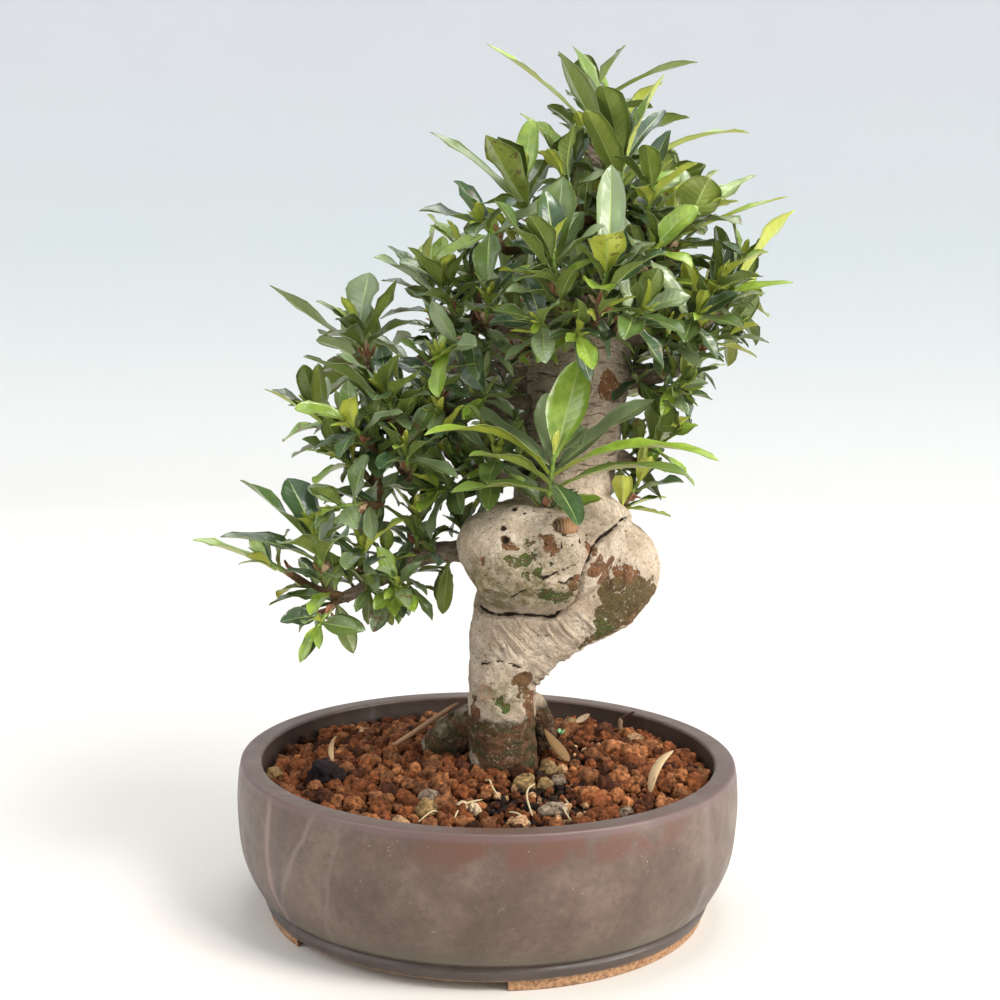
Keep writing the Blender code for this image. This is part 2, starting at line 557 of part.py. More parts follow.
def plan_shoots():
    """All shoots, those placed by hand first, as dictionaries with their twigs."""
    plan = []
    for name, (branch, heart, axis, pairs, length, tips) in SHOOTS.items():
        path = smooth_path(BRANCHES[branch], BRANCH_STEPS)
        axis = Vector(axis).normalized()
        start = stem_start(Vector(heart), axis, pairs)
        share = nearest_share(path, start - axis * 6)
        root, _, radius = along(path, share)
        plan.append({"name": name, "start": start, "axis": axis, "pairs": pairs, "length": length,
                     "tips": tips, "heart": Vector(heart),
                     "twig": twig_path(root, min(TWIG_ROOT_RADIUS, 0.8 * radius), start, axis)})
    rng = random.Random(SEED + 1)
    half_leafy = FILL_PAIRS * NODE_PITCH / 2
    for branch, count in FILLS:
        path = smooth_path(BRANCHES[branch], BRANCH_STEPS)
        for i in range(count):
            share = FILL_START + (1 - FILL_START) * (i + 1) / count
            root, forward, radius = along(path, share)
            side = forward.cross(Vector((0, 0, 1))).normalized()
            over = side.cross(forward)
            turn = i * GOLDEN_ANGLE + rng.uniform(-0.3, 0.3)
            out = math.cos(turn) * over + math.sin(turn) * side
            axis = out * 0.8 + forward * (0.5 if i < count - 1 else 1.0) + Vector((0, 0, 0.5))
            axis.normalize()
            reach = FILL_TWIG * rng.uniform(0.75, 1.25)
            top = STEM_FOOT + FILL_PAIRS * NODE_PITCH + BUD_LENGTH
            while outside(root + axis * (reach + top)):
                reach *= 0.8
            start = root + axis * reach
            plan.append({"name": f"{branch}_{i + 1}", "start": start, "axis": axis,
                         "pairs": FILL_PAIRS, "length": FILL_LEAF * rng.uniform(0.8, 1.2),
                         "tips": [], "heart": start + axis * (STEM_FOOT + half_leafy),
                         "twig": twig_path(root, min(TWIG_ROOT_RADIUS, 0.8 * radius), start, axis)})
    return plan


def make_trunk(collection, wood, plan, limbs, material):
    """The whole plant's wood as one body: limbs, roots, branches and twigs."""
    for name, points in BRANCHES.items():
        tube("branch_" + name, smooth_path(points, BRANCH_STEPS), 1, wood)
    for shoot in plan:
        tube("twig_" + shoot["name"], shoot["twig"], 0, wood)
    trunk = limbs[0]
    trunk.name = "trunk"
    wood.objects.unlink(trunk)
    collection.objects.link(trunk)
    boolean(trunk, "UNION", wood)
    empty_collection(wood)
    keep_largest_body(trunk.data)
    trunk.data.materials.clear()
    trunk.data.materials.append(material)
    round_shading(trunk.data, 60)
    return trunk


# Leafy shoots

def blade_width(t):
    """Half-width of a blade along its length: widest past the middle, pointed at the tip."""
    return max(0.1, 2.62 * t ** 0.9 * (1 - t) ** 0.55)


def blade_sections(blade, stations, grow=0.0):
    """Four-cornered sections of a blade and its tip: bottom, right, top, left."""
    half = math.radians(blade["bend"]) / 2
    chord = blade["chord"] + grow
    sections = []
    for t in stations:
        angle = half * (1 - 2 * t)
        if abs(half) > 1e-4:
            ahead = chord * (math.sin(half) - math.sin(angle)) / (2 * math.sin(half))
            above = chord * (math.cos(angle) - math.cos(half)) / (2 * math.sin(half))
        else:
            ahead, above = chord * t, 0.0
        centre = blade["start"] + blade["along"] * ahead + blade["normal"] * above
        normal = blade["normal"] * math.cos(angle) - blade["along"] * math.sin(angle)
        twist = Matrix.Rotation(blade["twist"] * t, 3, blade["along"])
        normal = twist @ normal
        side = twist @ blade["side"]
        reach = blade["width"] / 2 * blade_width(t) + grow / 2
        wave = BLADE_WAVE * blade["width"] * math.sin(2 * math.pi * 1.7 * t + blade["phase"])
        rise = BLADE_FOLD * reach
        thick = BLADE_THICK / 2 + grow / 2
        sections.append([centre - normal * thick, centre + side * reach + normal * (rise + wave),
                         centre + normal * thick, centre - side * reach + normal * (rise - wave)])
    tip = blade["start"] + blade["along"] * chord
    return sections, tip


def loft_faces(first, second):
    """Triangles between two four-cornered sections, split alike above and below the edges."""
    b, r, t, l = first
    b2, r2, t2, l2 = second
    return [(b, r, b2), (r, r2, b2), (r, t, t2), (r, t2, r2),
            (t, l, t2), (l, l2, t2), (l, b, b2), (l, b2, l2)]


def root_faces(corners, section):
    """Triangles between a stem's side and a blade's first section."""
    bl, br, tr, tl = corners
    b, r, t, l = section
    return [(bl, br, b), (br, r, b), (br, tr, r), (tr, t, r),
            (tr, tl, t), (tl, l, t), (tl, bl, l), (bl, b, l)]


def tip_faces(section, tip):
    return [(section[i], section[(i + 1) % 4], tip) for i in range(4)]


def blade_solid(blade, grow, whole):
    """A blade grown all round, whole or without its root, to test for clearance."""
    if whole:
        middle = sum(blade["root"], Vector()) / 4
        sections, tip = blade_sections(blade, blade["stations"], grow)
        sections.insert(0, [p + (p - middle).normalized() * grow for p in blade["root"]])
    else:
        sections, tip = blade_sections(blade, (TEST_START,) + blade["stations"], grow)
    points = [p for section in sections for p in section] + [tip]
    index = [[4 * i + k for k in range(4)] for i in range(len(sections))]
    faces = [(0, 3, 2), (0, 2, 1)]
    for i, (first, second) in enumerate(zip(index, index[1:])):
        faces += root_faces(first, second) if whole and i == 0 else loft_faces(first, second)
    faces += tip_faces(index[-1], len(points) - 1)
    return points, faces


def tube_solid(path, grow):
    """A plain six-sided tube round a path, to test for clearance."""
    points = []
    faces = []
    sides = 6
    for i, (x, y, z, radius) in enumerate(path):
        before = Vector(path[max(i - 1, 0)][:3])
        after = Vector(path[min(i + 1, len(path) - 1)][:3])
        forward = (after - before).normalized()
        across = forward.orthogonal().normalized()
        over = forward.cross(across)
        for k in range(sides):
            turn = 2 * math.pi * k / sides
            ring = across * math.cos(turn) + over * math.sin(turn)
            points.append(Vector((x, y, z)) + ring * (radius + grow))
        if i:
            for k in range(sides):
                a, b = (i - 1) * sides + k, (i - 1) * sides + (k + 1) % sides
                faces += [(a, b, b + sides), (a, b + sides, a + sides)]
    return points, faces


class Guard:
    """Solids that new blades stay clear of."""

    def __init__(self):
        self.solids = []

    def add(self, solid, owner, kind):
        points, faces = solid
        low = [min(p[k] for p in points) for k in range(3)]
        high = [max(p[k] for p in points) for k in range(3)]
        self.solids.append((BVHTree.FromPolygons(points, faces), low, high, owner, kind))

    def add_plant(self, plan):
        """Adds all wood and all green stems, before the first blade."""
        for points in LIMBS.values():
            self.add(tube_solid(smooth_path(points, 2), CLEARANCE), "trunk", "wood")
        for points in BRANCHES.values():
            self.add(tube_solid(smooth_path(points, BRANCH_STEPS), CLEARANCE), "trunk", "wood")
        for shoot in plan:
            self.add(tube_solid(shoot["twig"], CLEARANCE), "trunk", "wood")
            rings, tip = stem_rings(shoot)
            stem = [(*(sum(ring, Vector()) / 4), STEM_RADIUS) for ring in rings] + [(*tip, 0.3)]
            self.add(tube_solid(stem, STEM_CLEARANCE), shoot["name"], "stem")

    def hits(self, solid, owner, own):
        """Whether a blade meets one of its own shoot's, if own, or else another's solids."""
        points, faces = solid
        low = [min(p[k] for p in points) for k in range(3)]
        high = [max(p[k] for p in points) for k in range(3)]
        tree = None
        for other, other_low, other_high, other_owner, kind in self.solids:
            if (other_owner == owner) != own or (kind == "blade") != own:
                continue
            if any(low[k] > other_high[k] or high[k] < other_low[k] for k in range(3)):
                continue
            tree = tree or BVHTree.FromPolygons(points, faces)
            if tree.overlap(other):
                return True
        return False


def side_directions(shoot):
    """Outward directions of the four sides of a shoot's square stem."""
    axis = shoot["axis"]
    across = axis.cross(Vector((0.3, 1, 0.2))).normalized()
    over = axis.cross(across)
    return [across, over, -across, -over]


def stem_rings(shoot):
    """Corners of a shoot's square stem, from its foot up, and the tip of its bud."""
    axis = shoot["axis"]
    across, over, _, _ = side_directions(shoot)
    rings = []
    for i in range(shoot["pairs"] + 2):
        height = GAP + (0 if i == 0 else STEM_FOOT + (i - 1) * NODE_PITCH)
        radius = STEM_RADIUS * (1 - 0.28 * i / (shoot["pairs"] + 1))
        centre = shoot["start"] + axis * height
        ring = []
        for k in range(4):
            turn = math.radians(90 * k - 45)
            ring.append(centre + (across * math.cos(turn) + over * math.sin(turn)) * radius)
        rings.append(ring)
    tip = shoot["start"] + axis * (GAP + STEM_FOOT + shoot["pairs"] * NODE_PITCH + BUD_LENGTH)
    return rings, tip


def blade_towards(root, reach, axis, bend, width, rng):
    """A blade from four corners on the stem whose tip lies a given reach from their middle."""
    start = sum(root, Vector()) / 4
    forward = reach.normalized()
    up = axis * 0.6 + Vector((0, 0, 0.6))
    side = up.cross(forward)
    if side.length < 0.2:
        side = (up + Vector((0, 0.7, 0))).cross(forward)
    side.normalize()
    chord = reach.length
    stations = LONG_STATIONS if chord > LONG_BLADE else SHORT_STATIONS
    return {"root": root, "start": start, "along": forward, "normal": forward.cross(side), "side": side,
            "chord": chord, "bend": bend, "width": width, "stations": stations,
            "phase": rng.uniform(0, 6.28), "twist": rng.uniform(-0.35, 0.35)}


def clear_blade(make, guard, shoot, seed):
    """The first of a number of draws of a blade that is clear of everything."""
    for draw in range(DRAWS):
        rng = random.Random(seed * 100 + draw)
        blade = make(rng, draw)
        if any(outside(place) for place in blade_solid(blade, 0.0, True)[0]):
            continue
        if guard.hits(blade_solid(blade, 0.3 * CLEARANCE, False), shoot["name"], True):
            continue
        if guard.hits(blade_solid(blade, CLEARANCE, True), shoot["name"], False):
            continue
        guard.add(blade_solid(blade, 0.0, False), shoot["name"], "blade")
        guard.add(blade_solid(blade, 0.0, True), shoot["name"], "whole")
        return blade
    return None


def placed_blades(shoot, number, guard):
    """Every blade of a shoot with its place on the stem: {(level, side): blade}."""
    rings, _ = stem_rings(shoot)
    sides = side_directions(shoot)
    axis = shoot["axis"]
    blades = {}

    def foot(level, side):
        return (rings[level + 1][side], rings[level + 1][(side + 1) % 4],
                rings[level + 2][(side + 1) % 4], rings[level + 2][side])

    levels = {}
    for k, (x, y, z, bend, width) in enumerate(shoot["tips"]):
        target = Vector((x, y, z))
        free = [s for s in range(4) if levels.get(s, 0) < shoot["pairs"]]
        side = max(free, key=lambda s: sides[s].dot(target))
        wanted = int(k * shoot["pairs"] / len(shoot["tips"]))
        level = min(max(levels.get(side, 0), wanted), shoot["pairs"] - 1)
        if (level, side) in blades:
            continue
        levels[side] = level + 1
        root = foot(level, side)
        reach = shoot["heart"] + target - sum(root, Vector()) / 4

        def towards(rng, draw, root=root, reach=reach, bend=bend, width=width):
            shake = 0.0 if draw == 0 else 0.03 * draw
            drift = Vector((rng.uniform(-1, 1), rng.uniform(-1, 1), rng.uniform(-1, 1)))
            moved = reach + drift * shake * reach.length
            return blade_towards(root, moved * (1 - 0.02 * draw), axis, bend, width, rng)

        blade = clear_blade(towards, guard, shoot, number * 100 + k)
        if blade:
            blades[(level, side)] = blade
    if shoot["name"] in WHOLE_BY_HAND:
        return blades
    for level in range(shoot["pairs"]):
        for side in (level % 2, level % 2 + 2):
            if (level, side) in blades:
                continue
            root = foot(level, side)
            share = level / max(1, shoot["pairs"] - 1)

            def opened(rng, draw, root=root, side=side, share=share):
                open_angle = math.radians(82 - 48 * share + rng.uniform(-9, 9) * (1 + 0.15 * draw))
                turn = math.radians(rng.uniform(-16, 16) * (1 + 0.2 * draw))
                out = Matrix.Rotation(turn, 3, axis) @ sides[side]
                length = shoot["length"] * rng.uniform(0.85, 1.15) * (1 - 0.04 * draw)
                reach = (axis * math.cos(open_angle) + out * math.sin(open_angle)) * length
                width = length * BLADE_WIDTH * rng.uniform(0.85, 1.15)
                return blade_towards(root, reach, axis, rng.uniform(10, 45), width, rng)

            blade = clear_blade(opened, guard, shoot, number * 100 + 40 + 4 * level + side)
            if blade:
                blades[(level, side)] = blade
    return blades


def make_shoot(shoot, blades, collection, material):
    """A green stem whose sides run out into its blades, as one body."""
    rings, tip = stem_rings(shoot)
    bm = bmesh.new()

    def vert(place):
        return bm.verts.new(place * MM)

    corners = [[vert(p) for p in ring] for ring in rings]
    foot = corners[0]
    faces = [(foot[0], foot[3], foot[2]), (foot[0], foot[2], foot[1])]
    for i in range(len(rings) - 1):
        for side in range(4):
            after = (side + 1) % 4
            quad = (corners[i][side], corners[i][after], corners[i + 1][after], corners[i + 1][side])
            blade = blades.get((i - 1, side))
            if blade is None:
                faces += [(quad[0], quad[1], quad[2]), (quad[0], quad[2], quad[3])]
                continue
            sections, end = blade_sections(blade, blade["stations"])
            sections = [[vert(p) for p in section] for section in sections]
            faces += root_faces(quad, sections[0])
            for first, second in zip(sections, sections[1:]):
                faces += loft_faces(first, second)
            faces += tip_faces(sections[-1], vert(end))
    faces += tip_faces(corners[-1], vert(tip))
    for face in faces:
        bm.faces.new(face)
    mesh = mesh_from("shoot_" + shoot["name"], bm)
    return add_object("shoot_" + shoot["name"], mesh, collection, material)


def main():
    reset_scene()
    bonsai = new_collection("gardenia_bonsai")
    cutters = new_collection("cutters")
    wood = new_collection("wood")
    materials = {name: new_material(name) for name in COLOURS}
    make_pot(bonsai, cutters, materials["glaze"])
    make_screen(bonsai, cutters, materials["screen"])
    plan = plan_shoots()
    limbs = [make_limb(name, wood) for name in LIMBS]
    make_soil(bonsai, cutters, limbs, materials["soil"])
    make_trunk(bonsai, wood, plan, limbs, materials["bark"])
    guard = Guard()
    guard.add_plant(plan)
    for number, shoot in enumerate(plan):
        blades = placed_blades(shoot, number, guard)
        make_shoot(shoot, blades, bonsai, materials["leaf"])


main()
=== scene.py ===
"""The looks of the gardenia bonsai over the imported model: fine pot, soil, bark and leaves.

Metres, +Z up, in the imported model's frame. Tables of places are in millimetres, and the tree's
tables and the rules that place its leaves are those of part.py, so each leaf keeps its place.
"""
import json
import math
import random
from collections import defaultdict

import bmesh
import bpy
from mathutils import Matrix, Vector, noise
from mathutils.bvhtree import BVHTree
from mathutils.kdtree import KDTree

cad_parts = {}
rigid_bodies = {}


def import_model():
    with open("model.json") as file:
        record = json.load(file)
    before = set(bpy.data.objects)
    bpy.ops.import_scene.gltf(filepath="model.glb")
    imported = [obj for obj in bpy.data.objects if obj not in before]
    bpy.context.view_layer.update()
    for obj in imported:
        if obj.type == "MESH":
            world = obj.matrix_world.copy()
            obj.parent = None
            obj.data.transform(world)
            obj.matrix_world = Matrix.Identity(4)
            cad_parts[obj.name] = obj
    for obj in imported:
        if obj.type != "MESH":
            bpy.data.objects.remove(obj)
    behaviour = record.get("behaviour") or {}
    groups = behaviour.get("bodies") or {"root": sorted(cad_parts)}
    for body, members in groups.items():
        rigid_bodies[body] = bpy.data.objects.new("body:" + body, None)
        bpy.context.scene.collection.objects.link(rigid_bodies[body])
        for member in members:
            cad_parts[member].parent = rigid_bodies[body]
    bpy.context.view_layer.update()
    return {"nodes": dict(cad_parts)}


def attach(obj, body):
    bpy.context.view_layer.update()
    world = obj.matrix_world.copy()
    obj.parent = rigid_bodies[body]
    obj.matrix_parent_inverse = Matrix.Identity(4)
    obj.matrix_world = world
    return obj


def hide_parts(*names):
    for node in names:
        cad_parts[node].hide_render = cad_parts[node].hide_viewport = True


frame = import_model()

MM = 0.001
GAP = 0.3                  # between pieces that touch
SEED = 11

# Pot
RIM_RADIUS = 109.6
POT_HEIGHT = 68.0
RIM_WIDTH = 9.0
RIM_ROUND = 1.2
FLOOR_UNDER = 4.2          # height of the pot's underside, which is its feet's height
FLOOR_TOP = 11.5
FOOT_WIDTH = 10.0
FOOT_RADIUS = 97.2
FOOT_GAP_CENTRES = (-114.0, 66.0)    # degrees round the pot
FOOT_GAP_WIDTH = 96.0
DRAIN_RADIUS = 13.0
# outer wall below the rim: belly, groove and the raised lip over the feet
POT_WALL = [(111.0, 50), (109.6, 32), (106.6, 22), (102.2, 13.5), (98.6, 10.2), (99.4, 8.4),
            (98.6, 5.2)]
# groove, lip and foot of the fine pot under the wall's curve
POT_GROOVE = [(100.0, 11.4), (98.9, 10.5), (98.7, 9.9), (99.0, 9.4), (99.5, 8.9), (99.6, 8.3),
              (99.5, 7.4), (99.1, 6.3), (98.7, 5.3), (98.0, 4.4)]
# inner wall from the rim down to the floor
POT_INSIDE = [(100.4, 66.8), (100.6, 57.5), (98.0, 25), (88.0, FLOOR_TOP)]


# Soil and the screen under it
SCREEN_THICK = 1.2
SOIL_EDGE_Z = 57.5
SOIL_MOUND = 8.5           # how far the soil rises towards the trunk
SOIL_BOTTOM = FLOOR_TOP + SCREEN_THICK + 2 * GAP
GRANULE_HEIGHT = 4.2
SOIL_TOP = SOIL_EDGE_Z + SOIL_MOUND + GRANULE_HEIGHT
SOIL_MIDDLE = (8, -6)
SOIL_SLOPE = 95.0          # the mound falls to nothing this far from its middle

# Trunk: thick limbs as (x, y, z, radius)
LIMBS = {
    "column": [(7, -5, 32, 14), (7, -7, 52, 16.5), (6, -8, 70, 15.6), (6, -7, 90, 15),
               (6.5, -7, 110, 15.8), (12, -5, 134, 19.2), (17, -1, 152, 16)],
    "elbow": [(12, -8, 105, 10), (20, -7, 120.5, 14.2), (34, -4, 134, 19), (52, 3, 147.5, 21.5),
              (52, 5, 156, 21.5), (44, 8, 168, 14)],
    "bulb": [(-10, -14, 157, 9.5), (-5, -15, 159, 18), (7, -17, 160, 24.5), (25, -18, 161, 24),
             (40, -11, 166, 19.5), (52, -4, 171, 11)],
    "upper": [(19, 0, 136, 12), (26, 2, 158, 18), (31, 6, 184, 21.5), (34, 13, 205, 22),
              (36.5, 15, 225, 22.5), (38.5, 15, 242, 23), (41, 13, 256, 20), (45, 11, 270, 15),
              (49, 9, 284, 10.5)],
    "shoulder": [(-2, -12, 167, 12), (12, -14, 171, 15), (29, -11, 173, 16), (45, -3, 173, 14),
                 (56, 4, 169, 10)],
    "collar": [(24, 10, 247, 8), (10, 5, 249, 7.8), (1.5, 1, 249, 6.4)],
    "left_root": [(4, 2, 84, 8), (-8, 11, 77, 10), (-20, 18, 67, 9.5), (-31, 24, 54, 6)],
    "rear_root": [(11, 2, 92, 7), (19, 8, 88, 6.8), (24, 14, 77, 6.2), (28, 19, 58, 5.4)],
}
LIMB_VOXEL = 2.4
BARK_SWELL = 1.0           # slow swellings of the bark
BARK_SCALE = 15.0

# Branches as (x, y, z, radius), each starting inside the wood that carries it
BRANCHES = {
    "leader": [(49, 9, 280, 8.5), (50, 7, 294, 6.5), (52, 1, 309, 4)],
    "crown_rear": [(49, 10, 288, 5.5), (52, 32, 300, 4), (56, 50, 308, 2.8)],
    "crown_back": [(50, 8, 292, 5), (46, 20, 318, 3.6), (41, 29, 337, 2.6)],
    "crown_left": [(47, 10, 280, 7), (30, 3, 288, 5), (19, -4, 292, 3)],
    "mid_front": [(40, 8, 262, 7), (36, -16, 266, 5), (33, -36, 267, 3.2)],
    "up_right": [(50, 10, 266, 7), (66, 3, 279, 4.6), (76, -4, 287, 3)],
    "right": [(54, 12, 256, 7.5), (76, 8, 259, 5.2), (91, 4, 262, 3.8), (99, 5, 266, 2.8)],
    "right_low": [(54, 13, 236, 6.5), (73, 9, 238, 4.4), (89, 6, 246, 2.8)],
    "right_back": [(52, 22, 252, 7), (74, 42, 262, 4.4), (88, 56, 268, 2.8)],
    "right_elbow": [(50, 13, 203, 6), (57, 10, 200, 4), (62, 8, 198, 2.8)],
    "left_high": [(26, 10, 252, 7), (2, 0, 258, 5), (-13, -8, 258, 3.2)],
    "inner": [(22, 4, 190, 7), (6, -4, 195, 4.6), (-8, -8, 195, 2.8)],
    "left": [(24, 12, 222, 7.5), (4, 5, 221, 5), (-8, 0, 223, 4.4), (-23, -5, 217, 4.2),
             (-37, -12, 208, 3.4), (-50, -12, 199, 2.6)],
    "left_fork": [(-24, -6, 216, 3.6), (-46, -9, 219, 3.2), (-62, -3, 211, 2.4)],
    "left_back": [(28, 24, 230, 7), (-8, 44, 238, 4.8), (-36, 56, 240, 3)],
    "back": [(40, 26, 242, 8), (38, 52, 252, 5), (35, 72, 256, 3)],
    "back_low": [(32, 24, 204, 7), (20, 48, 204, 4.4), (6, 62, 207, 2.8)],
    "low_left": [(8, -8, 161, 5.6), (-28, -6, 158, 4.3), (-49, -15, 148, 3.2), (-62, -24, 142, 2.5)],
    "stub": [(24, -15, 170, 6), (24, -20, 175.5, 5), (24, -22, 178, 4)],
    "knot": [(47, 2, 166, 6), (54, 1, 172, 4), (57, 1, 176, 3)],
}
BRANCH_STEPS = 1           # curve steps between the points of a branch
BARE_SHARE = 0.4           # share of a branch without twigs
TWIG_END_SHARE = 0.42      # of a twig's length lies along the axis of its shoot
TWIG_ROOT_RADIUS = 2.6
TWIG_TIP_RADIUS = 1.6

# Leafy shoots: branch, heart (x, y, z), axis, pairs of leaves, leaf length, and the tips of
# single leaves as (x, y, z from the heart, bend in degrees, width)
SHOOTS = {
    "front_rosette": ("stub", (25, -30.5, 196.8), (0.1, -0.2, 1), 5, 40, [
        (-41, -28, -5, 25, 11), (54, -30, 4, 45, 11), (24, -28, -9, 20, 11),
        (-34, -32, 11, 30, 11), (67, -20, 9, 55, 12), (-52, -28, 18, 65, 13), (45, -10, -4, 15, 12),
        (44, 18, 31, 15, 12), (-46, 22, 28, 20, 13), (-1, 21, 33, 8, 12), (21, 19, 31, 8, 13),
        (12, 12, 48, 8, 17)]),
    "crown_top": ("leader", (53, -5, 324), (0, -0.1, 1), 4, 34, [
        (-17, -26, 22, 15, 13), (55, 9, 18, 50, 9), (-28, -20, 46, -8, 17),
        (20, 20, 28, 20, 9), (17, -2, 40, 15, 12), (-21, 4, 52, 8, 15)]),
    "crown_back": ("crown_back", (40, 32, 352), (0, 0.2, 1), 3, 28, [
        (-51, 12, 38, 15, 8), (50, 12, 25, 35, 7), (-8, 22, 12, 20, 10)]),
    "crown_left": ("crown_left", (13, -8, 311), (-0.3, -0.3, 1), 4, 28, [
        (-18, -24, -3, 30, 11), (-42, 20, 30, 20, 8), (-17, -20, 25, -10, 17),
        (22, -14, 30, 20, 8), (2, 10, 35, 10, 11)]),
    "crown_inner": ("crown_left", (-3, -21, 298), (-0.4, -0.8, 0.4), 4, 26, []),
    "top_inner": ("leader", (30, -14, 318), (-0.4, -0.5, 0.8), 3, 25, []),
    "crown_mid": ("crown_left", (33, 6, 322), (-0.2, -0.2, 1), 3, 26, [
        (-13, -33, -4, 30, 12), (-23, 10, 28, 25, 8)]),
    "mid_front_a": ("mid_front", (24, -48, 282), (-0.2, -0.5, 1), 4, 28, [
        (-16, -22, -6, 30, 11), (-24, -14, 25, -8, 18), (3, 2, 36, 8, 17)]),
    "mid_front_b": ("mid_front", (44, -50, 276), (0.2, -0.5, 1), 4, 30, [
        (22, -22, 12, 30, 11), (34, -4, 24, 15, 17), (-20, -18, 28, 10, 14),
        (10, 13, 31, 10, 12), (2, 6, 47, 6, 12)]),
    "crown_right": ("up_right", (65, -12, 312), (0.1, -0.4, 1), 4, 27, []),
    "crown_face": ("up_right", (64, -24, 288), (0.2, -0.9, 0.3), 3, 24, []),
    "right_a": ("up_right", (80, -8, 300), (0.6, -0.3, 1), 4, 28, [
        (-14, -22, 9, 20, 12), (43, -2, 14, 10, 6), (10, -14, 22, -6, 19), (32, 14, 24, 10, 12)]),
    "right_far": ("right", (105, 3, 281), (0.3, 0, 1), 3, 24, [
        (22, -8, 28, 10, 14), (2, -26, 16, 20, 14)]),
    "right_b": ("right", (93, -6, 274), (0.4, -0.5, 0.9), 3, 26, [
        (34, -3, 4, 15, 7), (17, -24, 6, 30, 13), (0, -4, 30, 10, 9)]),
    "right_face": ("right", (84, -14, 262), (0.3, -0.8, 0.3), 3, 22, []),
    "right_inner": ("right_low", (73, -8, 254), (0.1, -0.7, 0.6), 3, 22, []),
    "right_low_a": ("right_low", (98, 4, 254), (0.9, -0.2, 0.4), 3, 20, [
        (16, -6, -8, 25, 7), (4, -8, -19, 20, 8)]),
    "right_low_b": ("right_low", (77, -1, 231), (0.7, -0.5, 0.1), 3, 20, [
        (17, -10, -3, 25, 9), (9, 0, -14, 20, 8)]),
    "right_low_c": ("right_elbow", (73, 3, 208), (0.7, -0.3, 0.7), 3, 22, [
        (1, -12, 19, 10, 16), (17, 0, 8, 20, 9)]),
    "front_skirt": ("mid_front", (20, -41, 259), (-0.3, -0.8, 0.2), 3, 22, []),
    "low_skirt": ("mid_front", (33, -42, 256), (0.2, -0.9, 0), 3, 20, []),
    "right_skirt": ("mid_front", (57, -36, 263), (0.5, -0.7, 0.3), 3, 24, []),
    "left_mid": ("left_high", (-21, -15, 272), (-0.4, -0.4, 1), 4, 26, [
        (-10, -25, -2, 30, 11), (-29, -11, 14, 20, 14), (9, -7, 22, 10, 15),
        (-15, -12, 18, 10, 15), (-8, 12, 35, 10, 8)]),
    "left_in": ("left_high", (-3, -18, 266), (0.1, -0.8, 0.6), 3, 22, []),
    "left_rise": ("left_high", (-13, -6, 286), (-0.3, 0.1, 0.9), 3, 24, []),
    "left_under": ("left_high", (-17, -21, 249), (-0.5, -0.6, -0.3), 3, 22, []),
    "left_top": ("left_fork", (-57, -8, 252), (-0.3, -0.2, 1), 3, 26, [
        (-37, -12, 22, -15, 12), (-13, -27, 2, 30, 15), (16, -12, 25, -25, 9),
        (3, 6, 28, 5, 17)]),
    "left_light": ("left_fork", (-74, 0, 216), (-0.7, -0.2, 0.8), 3, 24, [
        (-24, -10, 14, 10, 6), (-1, -10, 25, 10, 8)]),
    "left_mid_a": ("left", (-44, -24, 226), (-0.4, -0.6, 0.9), 3, 24, [
        (-33, -20, 19, 25, 14), (14, -18, 13, 20, 12)]),
    "left_mid_b": ("left", (-61, -12, 198), (-0.7, -0.4, 0.6), 3, 24, [
        (-20, -6, 11, 20, 12), (8, -10, 26, 10, 14)]),
    "left_mid_c": ("left", (-36, -30, 204), (0, -0.8, 0.7), 3, 22, [
        (-10, -16, 14, 20, 13), (16, -18, 10, 20, 11)]),
    "left_inner": ("left", (-23, -18, 237), (0, -0.5, 0.9), 4, 24, []),
    "left_front": ("left", (-57, -30, 214), (-0.4, -0.7, 0.5), 3, 21, []),
    "inner_side": ("inner", (-16, -10, 189), (-0.7, -0.4, -0.1), 4, 26, []),
    "inner_face": ("inner", (2, -23, 202), (0.1, -0.8, 0.6), 3, 25, []),
    "inner_top": ("inner", (-20, -14, 209), (-0.4, -0.4, 0.9), 4, 25, []),
    "left_stem": ("left", (-60, -36, 183), (-0.6, -0.7, 0), 3, 22, [
        (9, -4, 22, 15, 12)]),
    "low_left": ("low_left", (-72, -38, 165), (-0.2, -0.3, 1), 4, 34, [
        (15, -28, 10, 35, 13), (-39, -8, 6, 25, 13), (31, -12, 28, 15, 15),
        (-30, -12, 30, 12, 14), (18, 4, 39, 12, 14), (-10, 9, 33, 8, 15)]),
    "low_left_tip": ("low_left", (-93, -16, 154), (-0.9, 0, 0.5), 2, 20, [
        (-35, -1, 11, 15, 10)]),
    "twig_tip": ("low_left", (-70, -36, 135), (-0.3, -0.6, -0.4), 2, 17, [
        (-17, -7, 0, 20, 9), (16, -11, -2, 20, 8)]),
    "small_low": ("low_left", (-40, -24, 147), (0.1, -0.7, 0.1), 3, 18, [
        (8, -14, -8, 20, 9), (13, -5, -6, 20, 8)]),
    "low_inner": ("low_left", (-55, -24, 160), (0.1, -0.6, 0.7), 3, 25, []),
    "low_mid": ("low_left", (-32, -12, 171), (0, -0.3, 1), 3, 22, [
        (-14, -13, 11, 20, 9), (17, -8, 8, 20, 9), (1, -8, 28, 5, 11)]),
    "right_bulb": ("knot", (63, 0, 189), (0.5, -0.2, 0.9), 2, 20, [
        (20, -8, 3, 20, 11)]),
}
WHOLE_BY_HAND = ("front_rosette",)    # shoots that bear no leaves but those listed
# More shoots along the branches: branch and how many
FILLS = [("crown_rear", 2), ("right_back", 2), ("left_back", 2), ("back", 3), ("back_low", 2)]
FOLIAGE_REACH = (128.5, 108, 383)     # no leaf goes further out or up
FILL_START = 0.5           # share of the branch that stays bare
FILL_TWIG = 20.0
FILL_PAIRS = 5
FILL_LEAF = 30.0
GOLDEN_ANGLE = math.radians(137.5)

